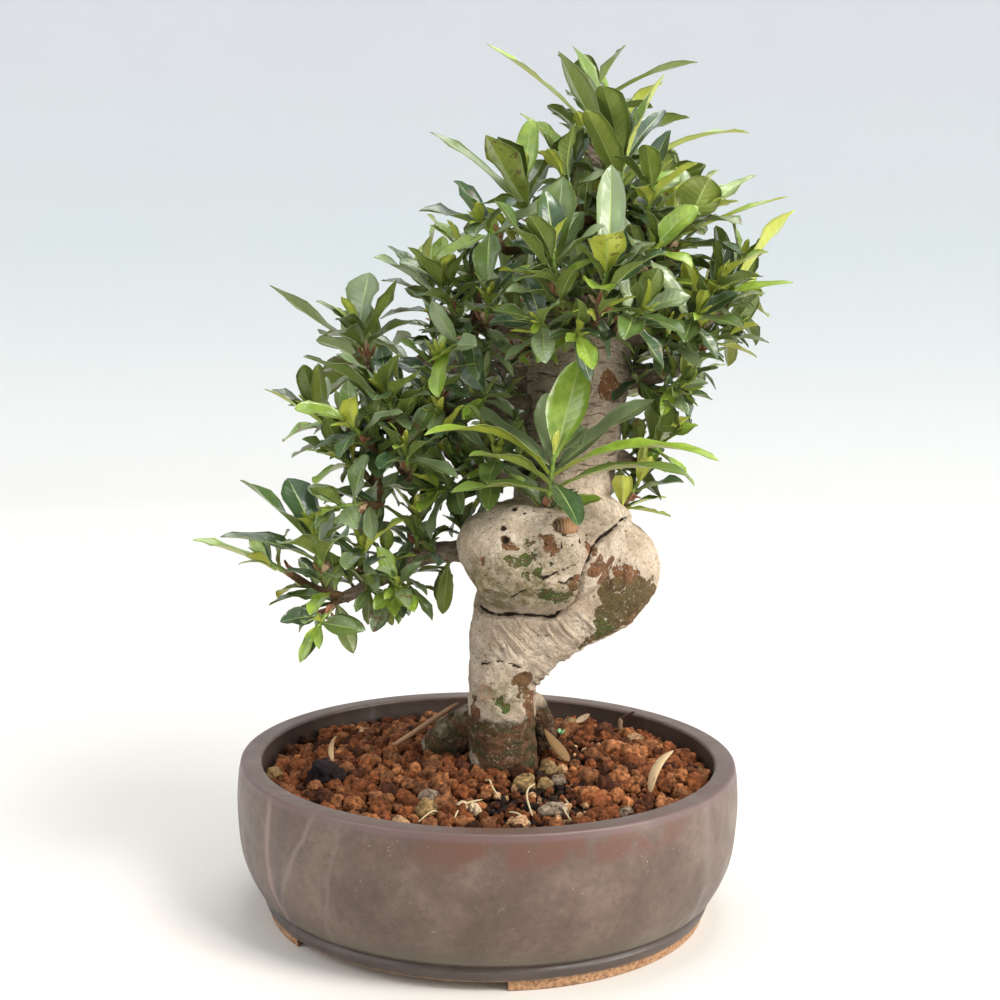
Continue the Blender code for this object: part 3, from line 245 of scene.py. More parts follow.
# Stems and blades
STEM_RADIUS = 1.7
STEM_FOOT = 5.0            # bare stem below the first leaves
NODE_PITCH = 3.6           # height of stem that one pair of leaves takes
BUD_LENGTH = 9.0
BLADE_THICK = 1.3
BLADE_WIDTH = 0.4          # of its length
BLADE_FOLD = 0.34          # how steeply the halves rise from the midrib
BLADE_WAVE = 0.10          # height of the edge's waves, of its width
LONG_BLADE = 31.0          # a longer blade has three sections, a shorter one two
LONG_STATIONS = (0.27, 0.56, 0.82)
SHORT_STATIONS = (0.4, 0.76)
TEST_START = 0.1           # its root is left out where a blade is tested against its own shoot
CLEARANCE = 0.7
STEM_CLEARANCE = 1.0
DRAWS = 14

# Fine shapes
POT_TURN = 192             # sides of the fine pot
RIM_STEPS = 6              # of each rounded edge of the rim
SHARP_EDGE = 42.0          # degrees
BED_SIDES = 120
BED_RINGS = 46
TRUNK_VOXEL = 0.9
WOOD_PITCH = 1.5           # between the rings of a branch
STRIP_STEPS = 12           # of dry leaves and papery scales, along and across
STRIP_ACROSS = (-1.0, -0.5, 0.0, 0.5, 1.0)
BRANCH_SIDES = 14
TWIG_SIDES = 9
STEM_SIDES = 9
# shares of a blade's length and of its half-width that carry points, on large and small blades
ALONG = (0.0, 0.06, 0.15, 0.27, 0.4, 0.53, 0.66, 0.78, 0.88, 0.95, 1.0)
ACROSS = (-1.0, -0.62, -0.11, 0.0, 0.11, 0.62, 1.0)
SMALL_ALONG = (0.0, 0.16, 0.38, 0.62, 0.85, 1.0)
SMALL_ACROSS = (-1.0, -0.5, 0.0, 0.5, 1.0)
SMALL_BLADE = 15.0         # a shorter blade takes the small rows
LEAF_SHAPE = (3.45, 1.0, 0.75)   # factor and powers of a blade's half-width, base and tip
FLANK_WIDER = 1.25         # the broad leaves behind the rosette's tall one, over the CAD's
TWIG_LEAVES = 6            # tried along each twig
# short side shoots on each branch
TUFTS = {"inner": 9, "left": 13, "left_fork": 7, "low_left": 10, "left_high": 8, "mid_front": 7,
         "leader": 8, "crown_left": 7, "up_right": 7, "right": 9, "right_low": 8, "right_back": 5,
         "back": 6, "left_back": 8, "back_low": 4, "crown_rear": 5, "crown_back": 5, "right_elbow": 4}
RIGHT_HALF = 30            # leaves that start beyond this x go to the right piece
PETIOLE = 0.75             # half-width of a blade's stalk
TIP_HALF = 0.12
SKIN = 0.2                 # half the thickness of a blade beside its midrib
RIB = 0.5                  # how far the midrib stands below the blade

# Bark: places in mm on the skin of the wood
CREASE = [(59.5, -4.9, 175.9), (54.5, -14.4, 174.0), (50.9, -22.7, 172.6), (47.2, -28.0, 170.8),
          (44.1, -31.6, 168.5), (42.8, -33.8, 166.1), (40.8, -34.7, 161.1), (38.9, -35.3, 156.7),
          (38.0, -34.7, 152.3), (37.5, -30.3, 147.5), (35.2, -26.3, 142.4), (31.2, -21.4, 138.3),
          (27.7, -21.8, 134.9), (24.0, -21.1, 134.2), (19.1, -21.6, 134.7), (14.1, -22.7, 135.3),
          (8.6, -22.3, 135.6), (3.4, -20.9, 134.8), (0.0, -18.5, 135.1), (-3.1, -15.4, 136.2),
          (-5.4, -10.0, 137.8)]
FOLD = [(35.6, -37.5, 160.2), (30.0, -39.9, 158.0), (23.1, -41.3, 155.2), (17.8, -40.2, 151.1),
        (12.9, -38.5, 148.2), (8.2, -35.3, 145.0)]
CRACK = [(-3.4, -17.6, 112.4), (1.6, -20.9, 114.1), (6.6, -22.0, 114.9), (11.5, -21.6, 112.7),
         (17.4, -18.3, 110.4)]
# each with its depth and the width of its shade
LINES = [(CREASE, 2.4, 0.72), (FOLD, 0.8, 0.40), (CRACK, 0.5, 0.34)]
# hollows with a raised ring: place, radius, depth
PITS = [((9.9, -28.7, 181.4), 2.0, 1.5), ((5.2, -36.1, 174.5), 2.3, 1.6),
        ((6.2, -39.1, 170.0), 2.4, 1.2), ((8.0, -39.4, 167.5), 1.6, 0.9),
        ((14.0, -32.0, 180.5), 1.4, 0.8), ((-6.0, -20.0, 158.0), 1.8, 0.8),
        ((-1.5, -20.3, 100.9), 3.4, 0.6)]
PRUNE_SCAR = (-1.5, -20.3, 100.9)
BUD_SCAR = ((31.0, -35.0, 175.6), (0.16, -0.64, 0.75))
BUD_SCAR_HALF = (5.7, 3.9, 2.7)
# middle and reach of the wrinkles under the bulb, of the rough burl and of the bulb's crust
WRINKLED = ((22, -18, 121), 45)
BURL = ((6, 3, 249), 19)
CRUSTED = ((30, -36, 162), 20)
FOOT_HEIGHT = 112          # the bark gets rougher below
RINGED_HEIGHT = 186        # and ringed above
# where the pale bark has come off: place, radius, how much, greenness, warmth
BARE = [((44.3, -31.8, 158.5), 5.5, 0.80, 0.0, 1.0), ((50.3, -24.7, 157.4), 5.5, 0.90, 0.0, 1.0),
        ((56.5, -16.8, 154.4), 5.5, 0.85, 0.0, 1.0), ((61.9, -15.4, 151.2), 5, 0.70, 0.0, 1.0),
        ((48.4, -23.1, 151.9), 5.5, 0.95, 0.0, 0.9), ((52.3, -18.8, 145.1), 6, 1.0, 0.1, 0.4),
        ((58.5, -16.2, 144.7), 6.5, 1.0, 0.1, 0.3), ((64.8, -13.5, 145.2), 6.5, 1.0, 0.2, 0.35),
        ((69.6, -7.9, 145.6), 6, 0.85, 0.1, 0.5), ((55.2, -16.5, 138.6), 7, 1.0, 0.1, 0.2),
        ((62.4, -12.5, 138.8), 7, 1.0, 0.1, 0.4), ((68.1, -7.5, 140.1), 6, 1.0, 0.1, 0.6),
        ((49.1, -18.5, 136.3), 4.5, 0.8, 0.3, 0.3), ((57.3, -12.7, 132.6), 6, 1.0, 0.3, 0.5),
        ((63.0, -7.4, 132.0), 6, 1.0, 0.1, 0.9), ((48.5, -16.0, 129.6), 5, 1.0, 1.0, 0.0),
        ((52.3, -12.5, 127.1), 5, 0.9, 0.5, 0.5), ((46.2, -13.9, 124.2), 4.5, 0.8, 0.6, 0.5),
        ((41.9, -14.1, 121.1), 4.5, 0.8, 0.5, 0.5), ((36.5, -16, 117), 4.5, 0.7, 0.5, 0.5),
        ((30, -18, 112), 4.5, 0.65, 0.4, 0.7),
        ((8.9, -42.3, 161.0), 2.8, 0.8, 1.0, 0.0), ((13.8, -42.5, 162.4), 3.4, 0.9, 1.0, 0.0),
        ((18.8, -42.5, 164.1), 3.0, 0.8, 1.0, 0.0), ((14.0, -41.6, 155.1), 2.6, 0.7, 1.0, 0.1),
        ((19.3, -42.2, 157.8), 3.2, 0.8, 1.0, 0.1), ((24.6, -41.9, 160.8), 3.0, 0.7, 1.0, 0.2),
        ((23.7, -39.8, 170.9), 3.4, 0.75, 0.3, 0.8), ((25.0, -40.9, 166.9), 4.0, 0.8, 0.2, 0.9),
        ((39.8, -34.8, 167.4), 3.4, 0.75, 0.0, 1.0), ((42.4, -34.1, 166.1), 3.0, 0.7, 0.0, 1.0),
        ((20.8, -38.2, 147.4), 3.8, 0.85, 1.0, 0.1), ((25.1, -36.6, 145.9), 4.2, 0.9, 1.0, 0.1),
        ((30.3, -32.3, 143.5), 4.5, 0.85, 0.9, 0.2), ((33.8, -36.5, 150.7), 4, 0.85, 0.2, 0.6),
        ((32.7, -33.8, 146.8), 4, 0.85, 0.4, 0.6), ((35.8, -36.5, 153.3), 3.4, 0.75, 0.1, 0.8),
        ((12.5, -20.0, 106.1), 4, 0.8, 0.3, 0.6), ((15.9, -18.4, 106.7), 4.5, 0.9, 0.1, 0.8),
        ((15.2, -18.7, 101.4), 4.5, 0.85, 0.4, 0.6), ((17.9, -15.5, 97.1), 4.5, 0.9, 0.1, 1.0),
        ((18.9, -13.9, 92.2), 4, 0.9, 0.1, 1.0), ((4.8, -21.9, 96.3), 2.8, 1.0, 1.0, 0.0),
        ((7.5, -21.9, 94.2), 2.6, 0.9, 1.0, 0.0), ((-7.0, -14.9, 95.7), 3.4, 0.8, 0.1, 1.0),
        ((-6.4, -15.7, 90.5), 3.6, 0.95, 0.1, 1.0), ((6.2, -39.1, 169.0), 4.2, 0.8, 0.2, 0.8),
        ((-2.7, -37.4, 160.7), 2.2, 0.8, 0.0, 0.9), ((16, -41, 170), 4, 0.55, 0.5, 0.5),
        ((50, -4, 233), 7, 0.9, 0.0, 1.0), ((9, -2, 250), 14, 0.55, 0.1, 0.9),
        ((40, -2, 228), 12, 0.35, 0.0, 0.8), ((44, 20, 130), 12, 0.7, 0.4, 0.3),
        ((6, 12, 100), 11, 0.6, 0.3, 0.5), ((20, 14, 165), 12, 0.7, 0.6, 0.2),
        ((62, 14, 148), 9, 0.6, 0.2, 0.7), ((38, 38, 228), 12, 0.7, 0.3, 0.7),
        ((56, 26, 210), 10, 0.7, 0.1, 0.8), ((24, 32, 200), 10, 0.7, 0.5, 0.3),
        ((18.6, -13.2, 87.0), 3.6, 0.9, 0.1, 1.0)]
# thin green film on the pale bark: place, radius, strength
FILM = [((2, -31, 150), 17, 0.9), ((10, -42, 156), 13, 0.85), ((16.6, -38.8, 148.3), 12, 1.0),
        ((4, -37, 147.7), 11, 1.0), ((28.8, -40.8, 162.3), 10, 0.6), ((16, -42, 163), 11, 0.6),
        ((28, -34, 147), 10, 0.8), ((6, -23, 98), 10, 0.75), ((14, 12, 160), 20, 0.8),
        ((40, 24, 138), 18, 0.8), ((2, -20, 116), 9, 0.25), ((-16, 9, 75), 15, 1.0)]
BARE_FOOT = (94.0, 84.0)   # the pale bark gives out between these heights
# patches of it that are left below: place, radius
KEPT = [((-6.5, -15, 70), 3.6), ((-12, 8, 81), 5.5), ((-20, 12, 75), 5), ((-28, 17, 65), 4.5),
        ((22, 12, 84), 4), ((2, 10, 72), 7)]

# Soil
COARSE_SIDE = 30           # beyond this x the granules are coarser and lighter
# paints of the granules, each with the share of draws that fall under it or one before it
RED_GRAINS = {"rust": 0.45, "brown": 0.70, "orange": 0.84, "dark": 1.0}
BLACK_GRAINS = {"rust": 0.35, "dark": 0.6, "black": 0.85, "tan": 1.0}
GRAIN_CELL = 12.0          # the search for neighbours goes by cells of this size
GRAIN_KINDS = 26           # different lumps that the granules are drawn from
GRAIN_SQUASH = ((0.88, 1.15), (0.88, 1.15), (0.78, 1.0))    # least and most, along x, y and z
GRAIN_TRIES = 9000
FILLER_TRIES = 4200
BLACK_SOIL = [((33, 16), 15), ((20, -58), 22), ((30, -34), 13), ((41, 2), 8), ((42, 38), 12)]
PAINTS = {
    "rust": (0.165, 0.053, 0.018), "orange": (0.30, 0.118, 0.044), "dark": (0.060, 0.020, 0.009),
    "brown": (0.215, 0.088, 0.036), "needle": (0.34, 0.20, 0.105), "coal": (0.014, 0.010, 0.012),
    "tan": (0.42, 0.25, 0.13), "olive": (0.22, 0.145, 0.060), "grey": (0.19, 0.145, 0.105),
    "mauve": (0.25, 0.195, 0.14), "pale": (0.60, 0.47, 0.30), "black": (0.020, 0.012, 0.009),
    # the bed's paint, nearly black, is painted shade in the gaps between the granules
    "shade_bed": (0.030, 0.010, 0.0045), "scar": (0.26, 0.138, 0.058),
    "straw": (0.62, 0.46, 0.26), "bark": (0.22, 0.13, 0.07), "dead": (0.21, 0.118, 0.036),
    "root": (0.60, 0.50, 0.30), "sprout": (0.25, 0.60, 0.28), "sheath": (0.27, 0.115, 0.06),
    "sheath_pale": (0.50, 0.36, 0.23),
}
# single stones on the soil: x, y, half-sizes, paint
STONES = [(-25, -64, 5.2, 4.2, 4.6, "olive"), (-24, -52, 5.0, 4.4, 4.0, "grey"),
          (-10, -60.5, 3.4, 3.0, 3.0, "pale"), (-4.5, -64.5, 3.0, 2.6, 3.4, "pale"),
          (-34, -75, 6.4, 3.6, 2.4, "tan"), (-95, -9, 4.0, 4.6, 3.6, "olive"),
          (27, -18, 4.9, 4.6, 4.4, "olive"), (32.5, -15, 2.8, 2.6, 2.6, "tan"),
          (15.5, -36, 5.4, 5.0, 4.6, "olive"), (24.5, -37, 3.8, 3.6, 3.4, "olive"),
          (30.5, -30, 3.2, 3.0, 3.0, "grey"), (27.5, -63.5, 6.6, 5.4, 4.4, "mauve"),
          (14, -77, 4.2, 3.4, 3.4, "tan"), (57, -62, 3.2, 3.0, 3.0, "grey"),
          (-60, 60, 4.5, 4.0, 3.5, "tan"), (40, 76, 4.2, 4.4, 3.8, "olive"),
          (-20, 80, 4.0, 4.2, 3.6, "grey"), (70, 50, 4.6, 4.0, 3.4, "tan")]
COAL = [(-69.4, -23, 7.8, 7.4, 8.6, "coal")]
COAL_REACH = 6.0           # granules keep this far from its middle
SPROUT = (33, 16)
# fine roots and a needle: paint, radius, points as (x, y, height above the soil)
STRANDS = [("root", 0.42, [(-1, -36, 2.5), (1, -41, 4.5), (2, -47, 4.2), (5.5, -55, 2)]),
           ("root", 0.45, [(20, -40, 3), (17, -50, 4.5), (16.5, -60, 4.2), (18.5, -71, 2)]),
           ("root", 0.42, [(9, -69, 2.5), (13, -73, 3.4), (17.5, -79, 2)]),
           ("root", 0.38, [(32, -55, 3), (33, -63, 4.4), (31, -66, 4), (34, -74, 1.6)]),
           ("root", 0.40, [(-13, -75, 2), (-10, -66, 4), (-2, -59, 3.5)]),
           ("root", 0.32, [(-28, -79, 2), (-22, -72, 4.2), (-19, -69, 2)]),
           ("needle", 1.3, [(-47.5, 12, 2.6), (-36, 12, 9.5), (-25, 12, 16.5), (-14, 11.5, 23.5)]),
           ("bark", 1.3, [(63.5, 62, 2), (64, 63, 9)]),
           ("dark", 0.75, [(64, 63, 8.5), (66.5, 62, 10.5), (70.5, 60, 13.5)])]
# dry leaves: paint, length, width, curl in degrees, foot as x, y, height, forward, side
LITTER = [("straw", 24, 7.0, 85, (69, -38, 1.5), (-0.15, 0.1, 1.0), (0.55, -0.80, 0.1)),
          ("straw", 14, 3.8, -60, (-70, 3.3, 2.0), (-0.3, 0.1, 1.0), (0.75, 0.65, 0.1)),
          ("dead", 20, 7.8, 12, (35.8, -8.2, 2.6), (-0.49, 0.58, 0.65), (0.85, 0.5, 0.2)),
          ("sheath_pale", 8, 5.5, 40, (42, 60, 6.0), (1.0, 0.1, 0.2), (0.0, 1.0, 0.5)),
          ("bark", 13, 3.4, 50, (-20, 66, 4.5), (-1.0, 0.2, 0.15), (0.1, 0.6, 0.8))]

# Kinds of leaves: tint from dark to light green, and newness, where below 0 stands for a painted sheen of
# the sky in pale grey-green
KIND_LOOKS = {"dark": (0.12, 0.0), "sky": (0.3, -0.7), "middle": (0.55, 0.12),
              "olive": (0.9, 0.22), "bright": (0.8, 0.85)}
OTHER_KINDS = ("dark", "dark", "sky", "sky", "middle")    # drawn where no kind is given
# kinds of the listed leaves, by first letter, in the order of their shoot's table
LEAF_KINDS = {
    "front_rosette": "oodobbdssssb", "crown_top": "mbmdbo", "crown_back": "bmm",
    "crown_left": "mmodb", "crown_mid": "db", "mid_front_a": "dmo", "mid_front_b": "dsbms",
    "right_a": "dbmb", "right_far": "bm", "right_b": "bdb", "right_low_a": "bb",
    "right_low_b": "dm", "right_low_c": "db", "left_mid": "dsdmb", "left_top": "sdms",
    "left_light": "bm", "left_mid_a": "dm", "left_mid_b": "mb", "left_mid_c": "dd",
    "left_stem": "m", "low_left": "ddsdsd", "low_left_tip": "b", "twig_tip": "dm",
    "small_low": "bm", "low_mid": "dsd", "right_bulb": "d",
}

# runs of glaze: angle round the pot and lean with height, in radians, half-width, share, colour
RUNS = [(-2.50, 0.0, 0.030, 0.75, (0.24, 0.155, 0.135)),
        (-2.27, -5.0, 0.022, 0.55, (0.20, 0.155, 0.140)),
        (-2.40, -1.5, 0.045, 0.45, (0.055, 0.042, 0.038)),
        (-2.12, -2.0, 0.016, 0.30, (0.19, 0.15, 0.135)),
        (-0.62, 0.8, 0.050, 0.30, (0.20, 0.165, 0.145)),
        (0.7, 0.5, 0.040, 0.5, (0.22, 0.15, 0.13)),
        (2.2, -1.0, 0.030, 0.5, (0.20, 0.155, 0.140)),
        (1.4, 1.2, 0.022, 0.4, (0.055, 0.042, 0.038))]

# Light: name, place in metres, size, power, colour
WORLD_LIGHT = 0.82
LAMPS = [("key_light", (1.15, -1.0, 1.7), 0.8, 41.0, (1.0, 0.965, 0.92)),
         ("side_light", (1.7, -0.7, 0.55), 0.8, 22.0, (1.0, 0.96, 0.90)),
         ("fill_light", (-1.3, -0.7, 0.9), 1.2, 10.0, (1.0, 0.98, 0.95)),
         ("top_light", (0.1, 0.5, 1.9), 1.0, 14.0, (1.0, 0.985, 0.96))]

LAMP_TARGET = (0, 0, 0.18)
AIR_COLOUR = (0.92, 0.95, 1.0, 1)
# floor of the studio in metres: flat up to a radius, then a quarter turn up to a wall
SWEEP_FLAT = (0.4, 0.9, 1.5)
SWEEP_BEND = 0.9
SWEEP_STEPS = 12
SWEEP_TOP = 2.6
SWEEP_SIDES = 96

# Camera of the photo
CAMERA_PLACE = (0.00357, -0.6742, 0.2665)
CAMERA_PITCH = 7.151       # degrees below level
CAMERA_ROLL = 0.827
CAMERA_LENS = 55.73        # mm
CAMERA_SENSOR = 36.0


# Making meshes and materials

class Builder:
    """Points, faces and point attributes of a mesh in the making, in millimetres."""

    def __init__(self, *attributes):
        self.points = []
        self.faces = []
        self.slots = []
        self.values = {name: [] for name in attributes}

    def point(self, place, **values):
        self.points.append((place[0] * MM, place[1] * MM, place[2] * MM))
        for name, kept in self.values.items():
            kept.extend(values.get(name, (0.0, 0.0, 0.0)))
        return len(self.points) - 1

    def face(self, *corners, slot=0):
        self.faces.append(corners)
        self.slots.append(slot)

    def grid(self, rows, closed=False, slot=0):
        """Faces between rows of point numbers; a closed grid joins each row's ends."""
        for first, second in zip(rows, rows[1:]):
            count = len(first)
            for k in range(count if closed else count - 1):
                after = (k + 1) % count
                self.face(first[k], second[k], second[after], first[after], slot=slot)

    def sheet(self, rows, under=False):
        """Triangles between rows of points, cut the same way on both faces of a leaf."""
        for first, second in zip(rows, rows[1:]):
            for k in range(len(first) - 1):
                for corners in ((first[k], second[k], second[k + 1]),
                                (first[k], second[k + 1], first[k + 1])):
                    self.face(*(corners[::-1] if under else corners))

    def build(self, name, materials, slot_name, *nodes):
        """Makes the piece and lets it ride in place of the CAD nodes."""
        mesh = bpy.data.meshes.new(name)
        mesh.from_pydata(self.points, [], self.faces)
        dressed(mesh, *materials).polygons.foreach_set("material_index", self.slots)
        add_attributes(mesh, self.values)
        settle(name, mesh, slot_name, *nodes)


def add_attributes(mesh, values):
    for name, numbers in values.items():
        mesh.attributes.new(name, "FLOAT_VECTOR", "POINT").data.foreach_set("vector", numbers)


def dressed(mesh, *materials):
    mesh.materials.clear()
    for material in materials:
        mesh.materials.append(material)
    mesh.shade_smooth()
    return mesh


def settle(name, mesh, slot_name, *nodes):
    """Puts a finished mesh in the scene as a piece of the object."""
    piece = add_object(name, mesh)
    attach(piece, "root")
    if nodes:
        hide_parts(*nodes)


class Value:
    """An output of a node. Arithmetic on it makes the nodes that do the same."""

    def __init__(self, graph, socket):
        self.graph = graph
        self.socket = socket

    def __add__(self, other):
        return self.graph.calc("ADD", self, other)

    def __sub__(self, other):
        return self.graph.calc("SUBTRACT", self, other)

    def __rsub__(self, other):
        return self.graph.calc("SUBTRACT", other, self)

    def __mul__(self, other):
        return self.graph.calc("MULTIPLY", self, other)

    def __pow__(self, other):
        return self.graph.calc("POWER", self, other)

    def __abs__(self):
        return self.graph.calc("ABSOLUTE", self)


class Graph:
    """The nodes of one material, with short names."""

    def __init__(self, name, **looks):
        self.material = bpy.data.materials.new(name)
        self.material.use_nodes = True
        self.nodes = self.material.node_tree.nodes
        self.shader = self.nodes["Principled BSDF"]
        self.place = self.node("TexCoord", {}, "Object")
        self.give(**looks)

    def put(self, socket, value):
        if isinstance(value, Value):
            self.material.node_tree.links.new(value.socket, socket)
        elif value is not None:
            socket.default_value = (*value, 1.0) if socket.type == "RGBA" else value

    def node(self, kind, inputs, output=0, **settings):
        """An output of a new node with its inputs and settings."""
        node = self.nodes.new("ShaderNode" + kind)
        for name, setting in settings.items():
            setattr(node, name, setting)
        for key, value in inputs.items():
            self.put(node.inputs[key], value)
        return Value(self, node.outputs[output])

    def give(self, **looks):
        """Sets inputs of the shader: Base_Color for its Base Color."""
        for name, value in looks.items():
            self.put(self.shader.inputs[name.replace("_", " ")], value)

    def attribute(self, name):
        return self.node("Attribute", {}, "Vector", attribute_name=name)

    def split(self, vector):
        x = self.node("SeparateXYZ", {0: vector})
        return [Value(self, output) for output in x.socket.node.outputs]

    def join(self, x, y, z):
        return self.node("CombineXYZ", {0: x, 1: y, 2: z})

    def calc(self, operation, a, b=None):
        return self.node("Math", {0: a, 1: b}, operation=operation)

    def noise(self, size, detail=3.0, vector=None, rough=0.55, distortion=0.0):
        """Noise whose features are about size millimetres."""
        return self.node("TexNoise", {"Vector": vector or self.place, "Scale": 1 / (size * MM),
                                      "Detail": detail, "Roughness": rough, "Distortion": distortion})

    def step(self, value, low, high, first=0.0, last=1.0):
        """Smooth step of a value from first, at low, to last, at high."""
        inputs = {"Value": value, "From Min": low, "From Max": high, "To Min": first, "To Max": last}
        return self.node("MapRange", inputs, interpolation_type="SMOOTHSTEP")

    def level(self, value, low, high):
        """Smooth step from 0 to 1 between two places in millimetres."""
        return self.step(value, low * MM, high * MM)

    def mix(self, share, first, second, blend="MIX"):
        """Mixes two colours; a colour is an output or three numbers."""
        return self.node("Mix", {0: share, 6: first, 7: second}, 2, data_type="RGBA", blend_type=blend)

    def ramp(self, value, *stops):
        """A colour for each (place, colour) stop."""
        ramp = self.node("ValToRGB", {0: value})
        elements = ramp.socket.node.color_ramp.elements
        for i, (place, colour) in enumerate(stops):
            element = elements[i] if i < 2 else elements.new(place)
            element.position = place
            element.color = (*colour, 1.0)
        return ramp

    def finish(self, colour, roughness, relief, depth, strength):
        """The material with its colour, roughness and relief, whose depth is in millimetres."""
        bumps = self.node("Bump", {"Height": relief, "Distance": depth * MM, "Strength": strength})
        self.give(Base_Color=colour, Roughness=roughness, Normal=bumps)
        return self.material


def glaze_material():
    """Dark brown semi-gloss glaze with runs, cloudy stains and dust; bare clay at the feet."""
    g = Graph("glaze", Coat_Weight=0.08, Coat_Roughness=0.25)
    x, y, z = g.split(g.place)
    turn = g.calc("ARCTAN2", y, x)
    radius = (x * x + y * y) ** 0.5
    colour = g.ramp(g.noise(26, 4, rough=0.6), (0.34, (0.076, 0.048, 0.035)),
                    (0.50, (0.100, 0.064, 0.048)), (0.64, (0.130, 0.089, 0.068)))
    mottle = g.ramp(g.noise(3.4, 4, rough=0.7), (0.34, (0.86, 0.85, 0.84)), (0.66, (1.16, 1.15, 1.13)))
    colour = g.mix(1.0, colour, mottle, "MULTIPLY")
    stain = g.step(g.noise(9, 3), 0.60, 0.70)
    colour = g.mix(stain * 0.3, colour, (0.055, 0.038, 0.030))
    # reddish tint below the rim, greener brown above the groove
    under_rim = g.level(z, 50, 60) * g.step(g.noise(17, 3), 0.42, 0.62)
    facing = g.step(turn, -1.95, -1.6) * g.step(turn, -1.0, -0.6, 1.0, 0.0)
    colour = g.mix(under_rim * (facing + 0.25), colour, (0.105, 0.045, 0.028))
    low = g.level(z, 22, 12) * g.level(z, 9.5, 12.5)
    colour = g.mix(low * 0.6, colour, (0.085, 0.075, 0.045))
    # runs of glaze
    wobble = (g.noise(30, 2) - 0.5) * 0.09
    for start, lean, width, share, paint in RUNS:
        away = abs(turn + wobble + z * lean - (start + 0.06 * lean))
        mask = g.step(away, 0.0, width, 1.0, 0.0) * share * g.level(radius, 96, 101)
        colour = g.mix(mask, colour, paint)
    # specks, dust and scratches
    speck = g.step(g.noise(1.3, 2), 0.69, 0.74)
    colour = g.mix(speck * 0.6, colour, (0.030, 0.022, 0.020))
    dust = g.step(g.noise(0.9, 1), 0.735, 0.77) * g.step(g.noise(22, 2), 0.4, 0.7)
    colour = g.mix(dust * 0.7, colour, (0.45, 0.40, 0.34))
    thread = g.step(abs(g.noise(15, 1, distortion=0.6) - 0.5), 0.0, 0.0035, 1.0, 0.0)
    scratch = thread * g.step(g.noise(12, 1), 0.62, 0.68) * g.level(z, 55, 45)
    colour = g.mix(scratch * 0.5, colour, (0.38, 0.35, 0.31))
    # rim: brown on top, purple along its outer edge; darker inside
    top = g.level(z, POT_HEIGHT - 1.2, POT_HEIGHT - 0.4)
    colour = g.mix(top * 0.7, colour, (0.105, 0.066, 0.050))
    edge = g.level(radius, RIM_RADIUS - 1.8, RIM_RADIUS - 0.8) * g.level(z, POT_HEIGHT - 4, POT_HEIGHT - 2)
    colour = g.mix(edge * 0.6, colour, (0.130, 0.078, 0.080))
    inner = RIM_RADIUS - RIM_WIDTH
    inside = g.level(radius, inner + 0.6, inner) * g.level(z, POT_HEIGHT - 0.8, POT_HEIGHT - 1.6)
    colour = g.mix(inside * 0.6, colour, (0.032, 0.026, 0.024))
    # unglazed clay
    clay_noise = g.noise(1.6, 3)
    clay = g.ramp(clay_noise, (0.35, (0.20, 0.095, 0.045)), (0.6, (0.42, 0.24, 0.12)))
    clay = g.mix(g.step(g.noise(0.7, 1), 0.64, 0.7), clay, (0.10, 0.05, 0.03))
    ragged = z + (g.noise(4, 2) - 0.5) * 0.0016
    bare = g.level(ragged, FLOOR_UNDER + 1.0, FLOOR_UNDER + 0.2)
    rough = g.step(g.noise(14, 3), 0.3, 0.75, 0.36, 0.52) + dust * 0.3
    grain = g.noise(0.8, 2) + g.noise(7, 2) * 1.6 + bare * clay_noise * 3.0
    return g.finish(g.mix(bare, colour, clay), g.calc("MAXIMUM", rough, bare * 0.88), grain, 0.12, 0.35)


def screen_material():
    g = Graph("screen")
    colour = g.ramp(g.noise(3, 3), (0.3, (0.012, 0.012, 0.013)), (0.7, (0.035, 0.034, 0.032)))
    return g.finish(colour, g.step(g.noise(2, 2), 0.3, 0.7, 0.5, 0.72), g.noise(0.6, 2), 0.08, 0.5)


def grit_material(name, pit, depth, rough):
    """Baked clay, stones and mould in the paint that each point carries, with painted shade in the pits.
    """
    g = Graph(name, Specular_IOR_Level=0.2)
    paint = g.attribute("paint")
    patch = g.ramp(g.noise(2.6, 5, rough=0.7), (0.32, (0.42, 0.36, 0.32)), (0.48, (0.95, 0.93, 0.92)),
                   (0.64, (1.75, 1.70, 1.60)))
    colour = g.mix(1.0, paint, patch, "MULTIPLY")
    dust = g.step(g.noise(0.8, 2), 0.68, 0.76)
    colour = g.mix(dust * 0.22, colour, (0.46, 0.27, 0.15))
    pits = g.noise(pit, 4, rough=0.7)
    # painted shade in the pits of the relief
    colour = g.mix(g.step(pits, 0.44, 0.30, 0.0, 0.65), colour, (0.035, 0.014, 0.008))
    return g.finish(colour, g.step(pits, 0.3, 0.7, rough + 0.1, rough - 0.1), pits, depth, 1.0)


def dry_material():
    """Dead leaves, roots, needles and papery sheaths, streaked along their length."""
    g = Graph("dry_plant")
    paint = g.attribute("paint")
    along, across, _ = g.split(g.attribute("lie"))
    streak = g.noise(900, 3, g.join(across * 7.0, along * 0.9, 0.0))
    colour = g.mix(1.0, paint, g.ramp(streak, (0.3, (0.45, 0.40, 0.36)), (0.52, (1.0, 0.98, 0.95)),
                                      (0.75, (1.45, 1.40, 1.30))), "MULTIPLY")
    blotch = g.step(g.noise(2.4, 3), 0.60, 0.68)
    colour = g.mix(blotch * 0.5, colour, (0.11, 0.05, 0.02))
    return g.finish(colour, g.step(streak, 0.3, 0.7, 0.75, 0.55), streak, 0.12, 0.7)


